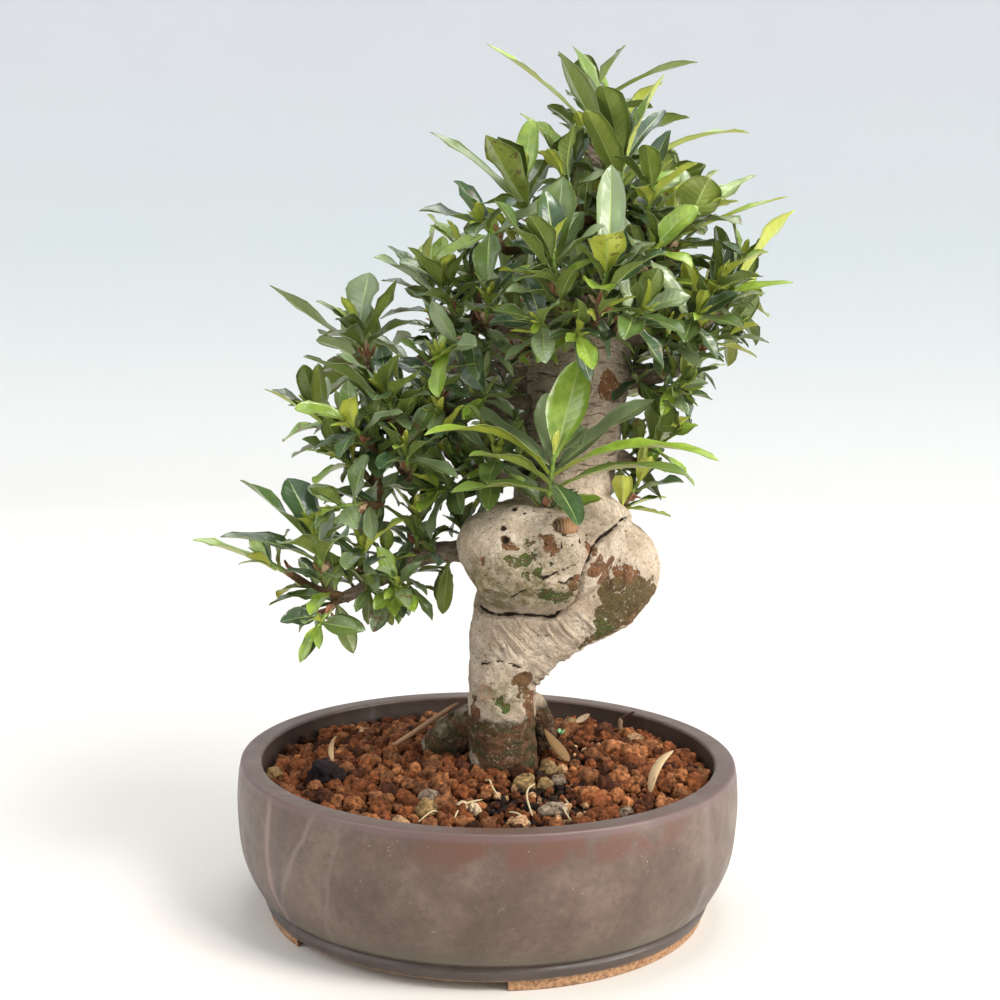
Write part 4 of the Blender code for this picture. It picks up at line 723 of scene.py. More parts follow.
def bark_material():
    """Pale flaking bark over brown and green; its points carry what has come off."""
    g = Graph("bark", Specular_IOR_Level=0.3)
    pale, green, dark = g.split(g.attribute("bark"))
    warm, film, tone = g.split(g.attribute("bark_tone"))
    wrinkled, ringed, scarred = g.split(g.attribute("bark_lines"))
    x, y, z = g.split(g.place)
    grain = g.noise(1.5, 5, rough=0.8)
    medium = g.noise(4.2, 4, rough=0.7)
    # pale crust: pinkish beige, with a thin green film low on the knots
    colour = g.ramp(g.noise(12, 4, rough=0.65), (0.34, (0.540, 0.425, 0.310)),
                    (0.50, (0.725, 0.600, 0.460)), (0.64, (0.820, 0.710, 0.575)))
    colour = g.mix(film * g.step(medium, 0.36, 0.6, 0.4, 1.0), colour, (0.235, 0.200, 0.085))
    colour = g.mix(1.0, colour, g.ramp(grain, (0.30, (1.30, 1.29, 1.27)), (0.44, (1.10, 1.09, 1.08)),
                                       (0.57, (0.86, 0.82, 0.78)), (0.68, (0.36, 0.27, 0.20))), "MULTIPLY")
    # thin scales, one lying over the next: painted shade under each scale's edge, and a pale band along
    # its raised edge, partly painted highlight
    shelf = g.calc("FRACT", g.noise(10, 5, rough=0.62, distortion=0.5) * 11.0)
    scaly = g.step(g.noise(15, 2), 0.42, 0.58, 0.15, 1.0) * (1.0 - wrinkled)
    colour = g.mix(scaly * g.step(shelf, 0.0, 0.14, 0.62, 0.0), colour, (0.19, 0.125, 0.075))
    colour = g.mix(scaly * g.step(shelf, 0.72, 0.95, 0.0, 0.5), colour, (0.78, 0.70, 0.58))
    # lines along the wrinkles, and rings round the upper trunk, dark in their grooves and pale on their
    # crests: partly the bark's own lines, partly painted shade and highlight
    u = x * 0.75 + z * 0.66
    v = x * 0.66 - z * 0.75
    bend = (g.noise(15, 1) - 0.5) * 0.006
    strand = g.noise(1.6, 3, g.join(u + bend, v * 0.06, y * 0.2))
    colour = g.mix(wrinkled * g.step(strand, 0.52, 0.66, 0.0, 0.65), colour, (0.17, 0.115, 0.075))
    colour = g.mix(wrinkled * g.step(strand, 0.44, 0.34, 0.0, 0.5), colour, (0.68, 0.58, 0.46))
    level = z + (g.noise(20, 1) - 0.5) * 0.008
    rings = g.noise(1.7, 3, g.join(x * 0.12, y * 0.12, level))
    colour = g.mix(ringed * 0.45, colour, (0.235, 0.175, 0.120))
    colour = g.mix(ringed * g.step(rings, 0.52, 0.64, 0.0, 0.75), colour, (0.075, 0.046, 0.028))
    colour = g.mix(ringed * g.step(rings, 0.44, 0.34, 0.0, 0.45), colour, (0.44, 0.36, 0.27))
    # dark dashes
    dash = g.noise(2.4, 2, g.join(x, y * 1.4, z * 2.1))
    colour = g.mix(g.step(dash, 0.655, 0.70, 0.0, 0.85), colour, (0.105, 0.060, 0.032))
    # what lies under the crust
    under = g.mix(g.step(warm, 0.3, 1.0), (0.135, 0.104, 0.036), (0.255, 0.112, 0.045))
    under = g.mix(g.step(medium, 0.45, 0.64, 0.0, 0.8), under, (0.085, 0.045, 0.022))
    leafy = g.step(green, 0.35, 0.85) * g.step(g.noise(3.0, 3), 0.42, 0.54)
    under = g.mix(leafy, under, (0.085, 0.120, 0.020))
    under = g.mix(1.0, under, g.ramp(grain, (0.30, (1.35, 1.35, 1.35)), (0.5, (1.0, 1.0, 1.0)),
                                     (0.72, (0.45, 0.42, 0.40))), "MULTIPLY")
    crumb = g.step(g.noise(1.5, 5, rough=0.8), 0.565, 0.6) * g.step(g.noise(7, 3), 0.4, 0.55)
    under = g.mix(crumb, under, (0.60, 0.50, 0.39))
    # ragged edge between them, with curled pale flakes along it
    ragged = pale + (medium - 0.5) * 1.25 + (grain - 0.5) * 0.55
    cover = g.step(ragged, 0.46, 0.51)
    flake = g.step(ragged, 0.47, 0.52) * g.step(ragged, 0.66, 0.55)
    colour = g.mix(cover, under, colour)
    colour = g.mix(flake * 0.55, colour, (0.74, 0.65, 0.53))
    # darker on the foot, and painted shade under the bulb
    colour = g.mix(g.step(tone, 0.0, 1.0, 0.0, 0.75), colour, (0.078, 0.040, 0.015))
    # the foot: green rings, and crumbs of crust
    low_rings = g.noise(3.4, 3, g.join(x * 0.35, y * 0.35, level))
    colour = g.mix(tone * g.step(low_rings, 0.5, 0.6, 0.0, 0.75), colour, (0.050, 0.056, 0.018))
    colour = g.mix(tone * g.step(low_rings, 0.46, 0.38, 0.0, 0.6), colour, (0.190, 0.085, 0.040))
    colour = g.mix(tone * crumb * 0.6, colour, (0.50, 0.37, 0.27))
    # the pruning scar, and painted shade in the grooves, pits and hollows
    colour = g.mix(scarred * g.step(grain, 0.35, 0.65, 0.9, 0.5), colour, (0.55, 0.30, 0.17))
    line = g.step(dark + (grain - 0.5) * 0.7, 0.50, 0.74)
    colour = g.mix(line, colour, (0.040, 0.024, 0.013))
    relief = (grain * -1.6 + medium * -1.1 + cover * 1.0 - wrinkled * strand * 1.8
              - ringed * rings * 1.8 - line + scaly * shelf * 0.8)
    return g.finish(colour, g.step(medium, 0.3, 0.7, 0.72, 0.92), relief, 1.3, 1.0)


def leaf_material():
    """Glossy blades with a pale midrib and side veins; matt and olive underneath; some with a painted
    sheen of the sky.
    """
    g = Graph("leaf", Coat_Weight=0.7, Coat_Roughness=0.22)
    across, along, under = g.split(g.attribute("blade"))
    tint, youth_and_sheen, worn = g.split(g.attribute("leaf_tone"))
    out = abs(across)
    rib = g.step(out, (1.15 - along) * 0.045, (1.25 - along) * 0.11, 1.0, 0.0)
    # side veins, eight or so a side, running out and forward
    away = g.calc("PINGPONG", along * 9.5 - out * 1.35 + (g.noise(9, 1) - 0.5) * 0.5, 0.5)
    vein = g.step(away, 0.0, 0.085, 1.0, 0.0) * g.step(out, 0.98, 0.72)
    mottled = g.noise(5, 3)
    colour = g.mix(g.step(tint, 0.0, 1.0), (0.030, 0.068, 0.032), (0.105, 0.165, 0.036))
    colour = g.mix(g.step(mottled, 0.35, 0.7, 0.0, 0.5), colour, (0.052, 0.098, 0.034))
    bright = g.mix(g.step(mottled, 0.3, 0.7), (0.180, 0.300, 0.024), (0.310, 0.440, 0.050))
    colour = g.mix(youth_and_sheen, colour, bright)
    # below 0, newness stands for a painted sheen of the sky: pale grey-green over the leaf's colour
    colour = g.mix(g.step(youth_and_sheen, 0.0, -1.0), colour, (0.235, 0.310, 0.145))
    colour = g.mix(vein * 0.16, colour, (0.20, 0.30, 0.09))
    back = g.mix(youth_and_sheen, (0.135, 0.185, 0.026), (0.430, 0.470, 0.050))
    back = g.mix(vein * 0.35, back, (0.30, 0.37, 0.09))
    back = g.mix(g.step(tint, 0.8, 0.2) * 0.4, back, (0.075, 0.115, 0.018))
    colour = g.mix(under, colour, back)
    colour = g.mix(rib * 0.75, colour, (0.38, 0.47, 0.14))
    colour = g.mix(g.step(out, 0.955, 0.995) * 0.45, colour, (0.33, 0.40, 0.12))
    colour = g.mix(worn * g.step(g.noise(3.2, 3), 0.57, 0.63), colour, (0.13, 0.065, 0.022))
    relief = g.step(away, 0.0, 0.3) * 1.0 + mottled * 0.5 - rib * 0.8
    roughness = g.step(mottled, 0.3, 0.7, 0.30, 0.44) + under * 0.26
    return g.finish(colour, roughness, relief, 0.14, 0.6)


def stem_material():
    """Green young stems, browner and ringed towards their foot."""
    g = Graph("stem")
    _, along, _ = g.split(g.attribute("blade"))
    woody = g.step(along + g.noise(3, 3) * 0.5, 0.55, 0.35)
    green = g.mix(g.step(g.noise(2, 2), 0.3, 0.7), (0.135, 0.220, 0.035), (0.235, 0.330, 0.060))
    brown = g.mix(g.step(g.noise(1.2, 3), 0.4, 0.65), (0.21, 0.135, 0.07), (0.10, 0.055, 0.03))
    roughness = g.step(woody, 0.0, 1.0, 0.42, 0.8)
    return g.finish(g.mix(woody, green, brown), roughness, g.noise(0.7, 3), 0.15, 0.7)


def studio_material():
    """A pale sweep, warm white underfoot and cooler higher up."""
    g = Graph("studio", Roughness=0.85)
    x, y, z = g.split(g.place)
    away = (x * x + y * y) ** 0.5
    floor = g.mix(g.step(away, 0.5, 1.6), (0.73, 0.705, 0.66), (0.86, 0.845, 0.81))
    back = away + z
    cool = g.step(back, 0.9, 2.8) ** 1.5
    shade = g.mix(cool, floor, (0.555, 0.610, 0.622))
    shade = g.mix(g.step(back, 2.5, 3.3), shade, (0.560, 0.575, 0.610))
    g.give(Base_Color=g.mix(g.step(g.noise(160, 3), 0.3, 0.7, 0.0, 0.04), shade, (0.70, 0.67, 0.62)))
    return g.material


def evaluated_mesh(thing):
    depsgraph = bpy.context.evaluated_depsgraph_get()
    return bpy.data.meshes.new_from_object(thing.evaluated_get(depsgraph))


def apply_modifiers(thing):
    mesh = evaluated_mesh(thing)
    thing.modifiers.clear()
    thing.data = mesh


def remesh(thing, voxel, passes):
    """Gives a thing one even skin, and smooths it a number of times."""
    skin = thing.modifiers.new("skin", "REMESH")
    skin.mode = "VOXEL"
    skin.voxel_size = voxel * MM
    soften = thing.modifiers.new("soften", "SMOOTH")
    soften.factor = 0.5
    soften.iterations = passes
    apply_modifiers(thing)


def mesh_from(name, bm):
    mesh = bpy.data.meshes.new(name)
    bm.to_mesh(mesh)
    bm.free()
    return mesh


def add_object(name, data, collection=None):
    thing = bpy.data.objects.new(name, data)
    (collection or bpy.context.scene.collection).objects.link(thing)
    return thing


def polar(radius, turn, z=0.0):
    return radius * math.cos(turn), radius * math.sin(turn), z


def any_vector(draw):
    return Vector((draw(), draw(), draw()))


# Rules of part.py: the soil's level, the wood's paths and the leaves' places

def soil_height(x, y):
    """Smooth level of the soil: a low mound round the foot of the trunk."""
    distance = math.hypot(x - SOIL_MIDDLE[0], y - SOIL_MIDDLE[1]) / SOIL_SLOPE
    return SOIL_EDGE_Z + SOIL_MOUND * max(0.0, 1 - distance) ** 0.8


def smooth_path(points, steps):
    """A smooth curve through (x, y, z, radius) points."""
    path = []
    for i in range(len(points) - 1):
        around = [points[max(i - 1, 0)], points[i], points[i + 1], points[min(i + 2, len(points) - 1)]]
        for step in range(steps):
            t = step / steps
            weights = (-t + 2 * t * t - t ** 3, 2 - 5 * t * t + 3 * t ** 3,
                       t + 4 * t * t - 3 * t ** 3, -t * t + t ** 3)
            path.append(tuple(sum(w * p[k] for w, p in zip(weights, around)) / 2 for k in range(4)))
    path.append(tuple(points[-1]))
    return path


def tube(name, path, resolution, collection):
    """A tube of changing radius with flat ends, as a mesh."""
    curve = bpy.data.curves.new(name, "CURVE")
    curve.dimensions = "3D"
    curve.bevel_depth = MM
    curve.bevel_resolution = resolution
    curve.use_fill_caps = True
    spline = curve.splines.new("POLY")
    spline.points.add(len(path) - 1)
    for point, (x, y, z, radius) in zip(spline.points, path):
        point.co = (x * MM, y * MM, z * MM, 1)
        point.radius = radius
    source = bpy.data.objects.new(name + "_curve", curve)
    collection.objects.link(source)
    mesh = evaluated_mesh(source)
    bpy.data.objects.remove(source, do_unlink=True)
    bm = bmesh.new()
    bm.from_mesh(mesh)
    bmesh.ops.remove_doubles(bm, verts=bm.verts[:], dist=1e-6)
    bmesh.ops.recalc_face_normals(bm, faces=bm.faces[:])
    return add_object(name, mesh_from(name, bm), collection)


def rounded_ends(path):
    """Adds a short taper at both ends of a limb."""
    first, last = path[0], path[-1]
    before, after = path[1], path[-2]
    head = tuple(first[k] + 0.35 * (first[k] - before[k]) for k in range(3)) + (first[3] * 0.55,)
    tail = tuple(last[k] + 0.35 * (last[k] - after[k]) for k in range(3)) + (last[3] * 0.55,)
    return [head] + path + [tail]


def along(path, share):
    """Point, direction and radius at a share of a path's length."""
    points = [Vector(p[:3]) for p in path]
    lengths = [(b - a).length for a, b in zip(points, points[1:])]
    left = share * sum(lengths)
    for i, length in enumerate(lengths):
        if left <= length or i == len(lengths) - 1:
            t = min(1.0, left / length)
            radius = path[i][3] + t * (path[i + 1][3] - path[i][3])
            return points[i].lerp(points[i + 1], t), (points[i + 1] - points[i]).normalized(), radius
        left -= length
    return points[-1], (points[-1] - points[-2]).normalized(), path[-1][3]


def nearest_share(path, target):
    """Where along a path, past its bare start, a twig to the target leaves it."""
    steps = 24
    shares = [BARE_SHARE + (1 - BARE_SHARE) * i / steps for i in range(steps + 1)]
    return min(shares, key=lambda share: (along(path, share)[0] - target).length)


def middle_of(corners):
    return sum(corners, Vector()) / 4


def outside(place):
    return any(abs(place[k]) > FOLIAGE_REACH[k] for k in range(3))


def stem_start(heart, axis, pairs):
    return heart - axis * (STEM_FOOT + 0.5 * pairs * NODE_PITCH)


def twig_path(root, root_radius, start, axis):
    """A twig from its branch to the foot of a shoot, bent once to arrive along its axis."""
    knee = start - axis * TWIG_END_SHARE * (start - root).length
    knee_radius = (root_radius + 2 * TWIG_TIP_RADIUS) / 3
    return [(*root, root_radius), (*knee, knee_radius), (*start, TWIG_TIP_RADIUS)]


def planned(name, start, axis, pairs, length, tips, heart, root, radius):
    return {"name": name, "start": start, "axis": axis, "pairs": pairs, "length": length,
            "tips": tips, "heart": heart,
            "twig": twig_path(root, min(TWIG_ROOT_RADIUS, 0.8 * radius), start, axis)}


def plan_shoots():
    """All shoots, those placed by hand first, as dictionaries with their twigs."""
    plan = []
    for name, (branch, heart, axis, pairs, length, tips) in SHOOTS.items():
        path = smooth_path(BRANCHES[branch], BRANCH_STEPS)
        axis = Vector(axis).normalized()
        start = stem_start(Vector(heart), axis, pairs)
        root, _, radius = along(path, nearest_share(path, start - axis * 6))
        plan.append(planned(name, start, axis, pairs, length, tips, Vector(heart), root, radius))
    rng = random.Random(SEED + 1)
    top = STEM_FOOT + FILL_PAIRS * NODE_PITCH + BUD_LENGTH
    for branch, count in FILLS:
        path = smooth_path(BRANCHES[branch], BRANCH_STEPS)
        for i in range(count):
            root, forward, radius = along(path, FILL_START + (1 - FILL_START) * (i + 1) / count)
            side = forward.cross(Vector((0, 0, 1))).normalized()
            turn = i * GOLDEN_ANGLE + rng.uniform(-0.3, 0.3)
            out = math.cos(turn) * side.cross(forward) + math.sin(turn) * side
            axis = out * 0.8 + forward * (0.5 if i < count - 1 else 1.0) + Vector((0, 0, 0.5))
            axis.normalize()
            reach = FILL_TWIG * rng.uniform(0.75, 1.25)
            while outside(root + axis * (reach + top)):
                reach *= 0.8
            start = root + axis * reach
            heart = start + axis * (STEM_FOOT + FILL_PAIRS * NODE_PITCH / 2)
            length = FILL_LEAF * rng.uniform(0.8, 1.2)
            plan.append(planned(f"{branch}_{i + 1}", start, axis, FILL_PAIRS, length, [], heart,
                                root, radius))
    return plan


def blade_width(t):
    """Half-width of a blade along its length: widest past the middle, pointed at the tip."""
    return max(0.1, 2.62 * t ** 0.9 * (1 - t) ** 0.55)


def blade_frame(blade, chord, t):
    """Centre, normal and side of a blade at a share of its length."""
    half = math.radians(blade["bend"]) / 2
    angle = half * (1 - 2 * t)
    if abs(half) > 1e-4:
        ahead = chord * (math.sin(half) - math.sin(angle)) / (2 * math.sin(half))
        above = chord * (math.cos(angle) - math.cos(half)) / (2 * math.sin(half))
    else:
        ahead, above = chord * t, 0.0
    centre = blade["start"] + blade["along"] * ahead + blade["normal"] * above
    normal = blade["normal"] * math.cos(angle) - blade["along"] * math.sin(angle)
    twist = Matrix.Rotation(blade["twist"] * t, 3, blade["along"])
    return centre, twist @ normal, twist @ blade["side"]


def edge_wave(blade, t):
    """How far the edge's waves lift one side of a blade and lower the other."""
    return BLADE_WAVE * blade["width"] * math.sin(2 * math.pi * 1.7 * t + blade["phase"])


def blade_sections(blade, stations, grow=0.0):
    """Four-cornered sections of a blade and its tip: bottom, right, top, left."""
    chord = blade["chord"] + grow
    sections = []
    for t in stations:
        centre, normal, side = blade_frame(blade, chord, t)
        reach = blade["width"] / 2 * blade_width(t) + grow / 2
        wave = edge_wave(blade, t)
        rise = BLADE_FOLD * reach
        thick = BLADE_THICK / 2 + grow / 2
        sections.append([centre - normal * thick, centre + side * reach + normal * (rise + wave),
                         centre + normal * thick, centre - side * reach + normal * (rise - wave)])
    tip = blade["start"] + blade["along"] * chord
    return sections, tip


def loft_faces(first, second):
    """Triangles between two four-cornered sections, split alike above and below the edges."""
    b, r, t, l = first
    b2, r2, t2, l2 = second
    return [(b, r, b2), (r, r2, b2), (r, t, t2), (r, t2, r2),
            (t, l, t2), (l, l2, t2), (l, b, b2), (l, b2, l2)]


def root_faces(corners, section):
    """Triangles between a stem's side and a blade's first section."""
    bl, br, tr, tl = corners
    b, r, t, l = section
    return [(bl, br, b), (br, r, b), (br, tr, r), (tr, t, r),
            (tr, tl, t), (tl, l, t), (tl, bl, l), (bl, b, l)]


def blade_solid(blade, grow, whole):
    """A blade grown all round, whole or without its root, to test for clearance."""
    if whole:
        middle = middle_of(blade["root"])
        sections, tip = blade_sections(blade, blade["stations"], grow)
        sections.insert(0, [p + (p - middle).normalized() * grow for p in blade["root"]])
    else:
        sections, tip = blade_sections(blade, (TEST_START,) + blade["stations"], grow)
    points = [p for section in sections for p in section] + [tip]
    index = [[4 * i + k for k in range(4)] for i in range(len(sections))]
    faces = [(0, 3, 2), (0, 2, 1)]
    for i, (first, second) in enumerate(zip(index, index[1:])):
        faces += root_faces(first, second) if whole and i == 0 else loft_faces(first, second)
    faces += [(index[-1][i], index[-1][(i + 1) % 4], len(points) - 1) for i in range(4)]
    return points, faces


def tube_solid(path, grow, sides=6):
    """A plain tube round a path, to test for clearance."""
    points = []
    faces = []
    for i, (x, y, z, radius) in enumerate(path):
        before = Vector(path[max(i - 1, 0)][:3])
        after = Vector(path[min(i + 1, len(path) - 1)][:3])
        forward = (after - before).normalized()
        across = forward.orthogonal().normalized()
        over = forward.cross(across)
        for k in range(sides):
            out, up, _ = polar(radius + grow, 2 * math.pi * k / sides)
            points.append(Vector((x, y, z)) + across * out + over * up)
            if i:
                a, b = (i - 1) * sides + k, (i - 1) * sides + (k + 1) % sides
                faces += [(a, b, b + sides), (a, b + sides, a + sides)]
    return points, faces


def box_of(points):
    return ([min(p[k] for p in points) for k in range(3)], [max(p[k] for p in points) for k in range(3)])


class Guard:
    """Solids that new blades stay clear of."""

    def __init__(self):
        self.solids = []

    def add(self, solid, owner, kind):
        self.solids.append((BVHTree.FromPolygons(*solid), *box_of(solid[0]), owner, kind))

    def add_plant(self, plan):
        """Adds all wood and all green stems, before the first blade."""
        paths = [smooth_path(points, 2) for points in LIMBS.values()]
        paths += [smooth_path(points, BRANCH_STEPS) for points in BRANCHES.values()]
        paths += [shoot["twig"] for shoot in plan]
        for path in paths:
            self.add(tube_solid(path, CLEARANCE), "trunk", "wood")
        for shoot in plan:
            rings, tip = stem_rings(shoot)
            stem = [(*middle_of(ring), STEM_RADIUS) for ring in rings] + [(*tip, 0.3)]
            self.add(tube_solid(stem, STEM_CLEARANCE), shoot["name"], "stem")

    def hits(self, solid, owner, own):
        """Whether a blade meets one of its own shoot's, if own, or else another's solids."""
        low, high = box_of(solid[0])
        tree = None
        for other, other_low, other_high, other_owner, kind in self.solids:
            if (other_owner == owner) != own or (kind == "blade") != own:
                continue
            if any(low[k] > other_high[k] or high[k] < other_low[k] for k in range(3)):
                continue
            tree = tree or BVHTree.FromPolygons(*solid)
            if tree.overlap(other):
                return True
        return False


def side_directions(shoot):
    """Outward directions of the four sides of a shoot's square stem."""
    axis = shoot["axis"]
    across = axis.cross(Vector((0.3, 1, 0.2))).normalized()
    over = axis.cross(across)
    return [across, over, -across, -over]


def stem_rings(shoot):
    """Corners of a shoot's square stem, from its foot up, and the tip of its bud."""
    axis = shoot["axis"]
    across, over, _, _ = side_directions(shoot)
    rings = []
    for i in range(shoot["pairs"] + 2):
        height = GAP + (0 if i == 0 else STEM_FOOT + (i - 1) * NODE_PITCH)
        radius = STEM_RADIUS * (1 - 0.28 * i / (shoot["pairs"] + 1))
        centre = shoot["start"] + axis * height
        ring = []
        for k in range(4):
            turn = math.radians(90 * k - 45)
            ring.append(centre + (across * math.cos(turn) + over * math.sin(turn)) * radius)
        rings.append(ring)
    tip = shoot["start"] + axis * (GAP + STEM_FOOT + shoot["pairs"] * NODE_PITCH + BUD_LENGTH)
    return rings, tip


def leaning(axis, out, angle, length):
    """A length that leans out from an axis by an angle."""
    return (axis * math.cos(angle) + out * math.sin(angle)) * length


def blade_towards(root, reach, axis, bend, width, rng):
    """A blade from four corners on the stem whose tip lies a given reach from their middle."""
    start = middle_of(root)
    forward = reach.normalized()
    up = axis * 0.6 + Vector((0, 0, 0.6))
    side = up.cross(forward)
    if side.length < 0.2:
        side = (up + Vector((0, 0.7, 0))).cross(forward)
    side.normalize()
    chord = reach.length
    stations = LONG_STATIONS if chord > LONG_BLADE else SHORT_STATIONS
    return {"root": root, "start": start, "along": forward, "normal": forward.cross(side), "side": side,
            "chord": chord, "bend": bend, "width": width, "stations": stations,
            "phase": rng.uniform(0, 6.28), "twist": rng.uniform(-0.35, 0.35)}


def clear_blade(make, guard, shoot, seed):
    """The first of a number of draws of a blade that is clear of everything."""
    for draw in range(DRAWS):
        rng = random.Random(seed * 100 + draw)
        blade = make(rng, draw)
        if any(outside(place) for place in blade_solid(blade, 0.0, True)[0]):
            continue
        if guard.hits(blade_solid(blade, 0.3 * CLEARANCE, False), shoot["name"], True):
            continue
        if guard.hits(blade_solid(blade, CLEARANCE, True), shoot["name"], False):
            continue
        guard.add(blade_solid(blade, 0.0, False), shoot["name"], "blade")
        guard.add(blade_solid(blade, 0.0, True), shoot["name"], "whole")
        return blade
    return None


def placed_blades(shoot, number, guard):
    """Every blade of a shoot with its place on the stem: {(level, side): blade}."""
    rings, _ = stem_rings(shoot)
    sides = side_directions(shoot)
    axis = shoot["axis"]
    pairs = shoot["pairs"]
    blades = {}

    def foot(level, side):
        return (rings[level + 1][side], rings[level + 1][(side + 1) % 4],
                rings[level + 2][(side + 1) % 4], rings[level + 2][side])

    def place(key, make, seed, tip):
        blade = clear_blade(make, guard, shoot, number * 100 + seed)
        if blade:
            blades[key] = {**blade, "tip": tip}

    levels = {}
    for k, (x, y, z, bend, width) in enumerate(shoot["tips"]):
        target = Vector((x, y, z))
        free = [s for s in range(4) if levels.get(s, 0) < pairs]
        side = max(free, key=lambda s: sides[s].dot(target))
        wanted = int(k * pairs / len(shoot["tips"]))
        level = min(max(levels.get(side, 0), wanted), pairs - 1)
        if (level, side) in blades:
            continue
        levels[side] = level + 1
        root = foot(level, side)
        reach = shoot["heart"] + target - middle_of(root)

        def towards(rng, draw):
            shake = 0.0 if draw == 0 else 0.03 * draw
            moved = reach + any_vector(lambda: rng.uniform(-1, 1)) * shake * reach.length
            return blade_towards(root, moved * (1 - 0.02 * draw), axis, bend, width, rng)

        place((level, side), towards, k, k)
    for level in range(0 if shoot["name"] in WHOLE_BY_HAND else pairs):
        share = level / max(1, pairs - 1)
        for side in (level % 2, level % 2 + 2):
            if (level, side) in blades:
                continue

            def opened(rng, draw):
                open_angle = math.radians(82 - 48 * share + rng.uniform(-9, 9) * (1 + 0.15 * draw))
                turn = math.radians(rng.uniform(-16, 16) * (1 + 0.2 * draw))
                out = Matrix.Rotation(turn, 3, axis) @ sides[side]
                length = shoot["length"] * rng.uniform(0.85, 1.15) * (1 - 0.04 * draw)
                width = length * BLADE_WIDTH * rng.uniform(0.85, 1.15)
                return blade_towards(foot(level, side), leaning(axis, out, open_angle, length), axis,
                                     rng.uniform(10, 45), width, rng)

            place((level, side), opened, 40 + 4 * level + side, None)
    return blades


# Pot

def rim_edge(centre, first, last):
    """A rounded edge of the rim as (radius, z), from one direction to another in degrees."""
    edge = []
    for k in range(RIM_STEPS + 1):
        turn = math.radians(first + (last - first) * k / RIM_STEPS)
        edge.append((centre + RIM_ROUND * math.cos(turn),
                     POT_HEIGHT - RIM_ROUND + RIM_ROUND * math.sin(turn)))
    return edge


def curved(outline, steps):
    return [(r, z) for r, z, _, _ in smooth_path([(r, z, 0, 0) for r, z in outline], steps)]


def fine_pot(material):
    """The pot as a smooth turned body with rounded edges and the gaps between its feet."""
    foot_inside = FOOT_RADIUS - FOOT_WIDTH
    outline = rim_edge(RIM_RADIUS - RIM_ROUND, 90, 0)
    outline += curved([(RIM_RADIUS + 0.7, POT_HEIGHT - 4 * RIM_ROUND), *POT_WALL[:4]], 7)
    outline += POT_GROOVE
    outline += [(FOOT_RADIUS, FLOOR_UNDER), (FOOT_RADIUS - 0.3, 0.5), (FOOT_RADIUS - 0.9, 0.0),
                (foot_inside + 0.4, 0.0), (foot_inside - 0.2, 0.6), (foot_inside - 0.6, FLOOR_UNDER)]
    outline += [(DRAIN_RADIUS + 0.8, FLOOR_UNDER), (DRAIN_RADIUS, FLOOR_UNDER + 0.8),
                (DRAIN_RADIUS, FLOOR_TOP - 0.8), (DRAIN_RADIUS + 0.8, FLOOR_TOP)]
    outline += curved(POT_INSIDE, 5)[::-1]
    outline += rim_edge(RIM_RADIUS - RIM_WIDTH + RIM_ROUND, 180, 90)
    pot = Builder()
    rows = [[pot.point(polar(r, 2 * math.pi * i / POT_TURN, z)) for r, z in outline]
            for i in range(POT_TURN)]
    pot.grid(rows + rows[:1], closed=True)
    mesh = bpy.data.meshes.new("pot_body")
    mesh.from_pydata(pot.points, [], pot.faces)
    body = add_object("pot_body", mesh)
    cut_foot_gaps(body)
    mesh = dressed(body.data, material)
    bpy.data.objects.remove(body, do_unlink=True)
    mesh.set_sharp_from_angle(angle=math.radians(SHARP_EDGE))
    settle("pot_body", mesh, "glaze", "pot")


def cut_foot_gaps(body):
    """Takes the gaps out of the foot ring with two boxes."""
    bm = bmesh.new()
    place = Matrix.Translation(((FOOT_RADIUS - FOOT_WIDTH) * MM, 0, -0.02 * MM))
    size = Matrix.Diagonal((5 * FOOT_WIDTH * MM, FOOT_GAP_WIDTH * MM, 2 * FLOOR_UNDER * MM, 1))
    for degrees in FOOT_GAP_CENTRES:
        turn = Matrix.Rotation(math.radians(degrees), 4, "Z")
        bmesh.ops.create_cube(bm, size=1.0, matrix=turn @ place @ size)
    cutter = add_object("foot_gaps", mesh_from("foot_gaps", bm))
    modifier = body.modifiers.new("gaps", "BOOLEAN")
    modifier.operation = "DIFFERENCE"
    modifier.object = cutter
    modifier.solver = "EXACT"
    apply_modifiers(body)
    bpy.data.objects.remove(cutter, do_unlink=True)


# Soil

def ball(subdivisions):
    """Points and faces of a unit ball of triangles."""
    bm = bmesh.new()
    bmesh.ops.create_icosphere(bm, subdivisions=subdivisions, radius=1.0)
    points = [vert.co.copy() for vert in bm.verts]
    faces = [tuple(vert.index for vert in face.verts) for face in bm.faces]
    bm.free()
    return points, faces


def lump(points, rng, rough, knobs):
    """A rough lump from a ball: flats, knobs and pits. Gives its points and their hollowness."""
    shift = any_vector(lambda: rng.uniform(0, 90))
    flats = [any_vector(lambda: rng.gauss(0, 1)).normalized() for _ in range(7)]
    cuts = [rng.uniform(0.62, 0.92) for _ in flats]
    made = []
    for point in points:
        reach = 1.0
        for flat, cut in zip(flats, cuts):
            ahead = point.dot(flat)
            if ahead * reach > cut:
                reach = cut / ahead * 0.8 + reach * 0.2
        slow, fine, grit = [noise.noise(point * size + shift) for size in (1.5, 3.6, 8.0)]
        reach *= 1 + knobs * slow + rough * fine + 0.7 * rough * grit
        made.append((point * reach, max(0.0, -fine - 0.6 * grit)))
    return made


def in_black(x, y):
    return any(math.hypot(x - cx, y - cy) < radius for (cx, cy), radius in BLACK_SOIL)


def in_trunk(x, y, margin):
    """Whether a place on the soil lies inside the foot of the trunk or of a root."""
    for name in ("column", "left_root", "rear_root"):
        for px, py, pz, radius in smooth_path(LIMBS[name], 6):
            if SOIL_EDGE_Z - 4 < pz < SOIL_TOP + 4 and math.hypot(x - px, y - py) < radius + margin:
                return True
    return False


def near_cell(x, y, across=0, up=0):
    """The cell of a place, or the one so many cells across and up from it."""
    return int(x // GRAIN_CELL) + across, int(y // GRAIN_CELL) + up


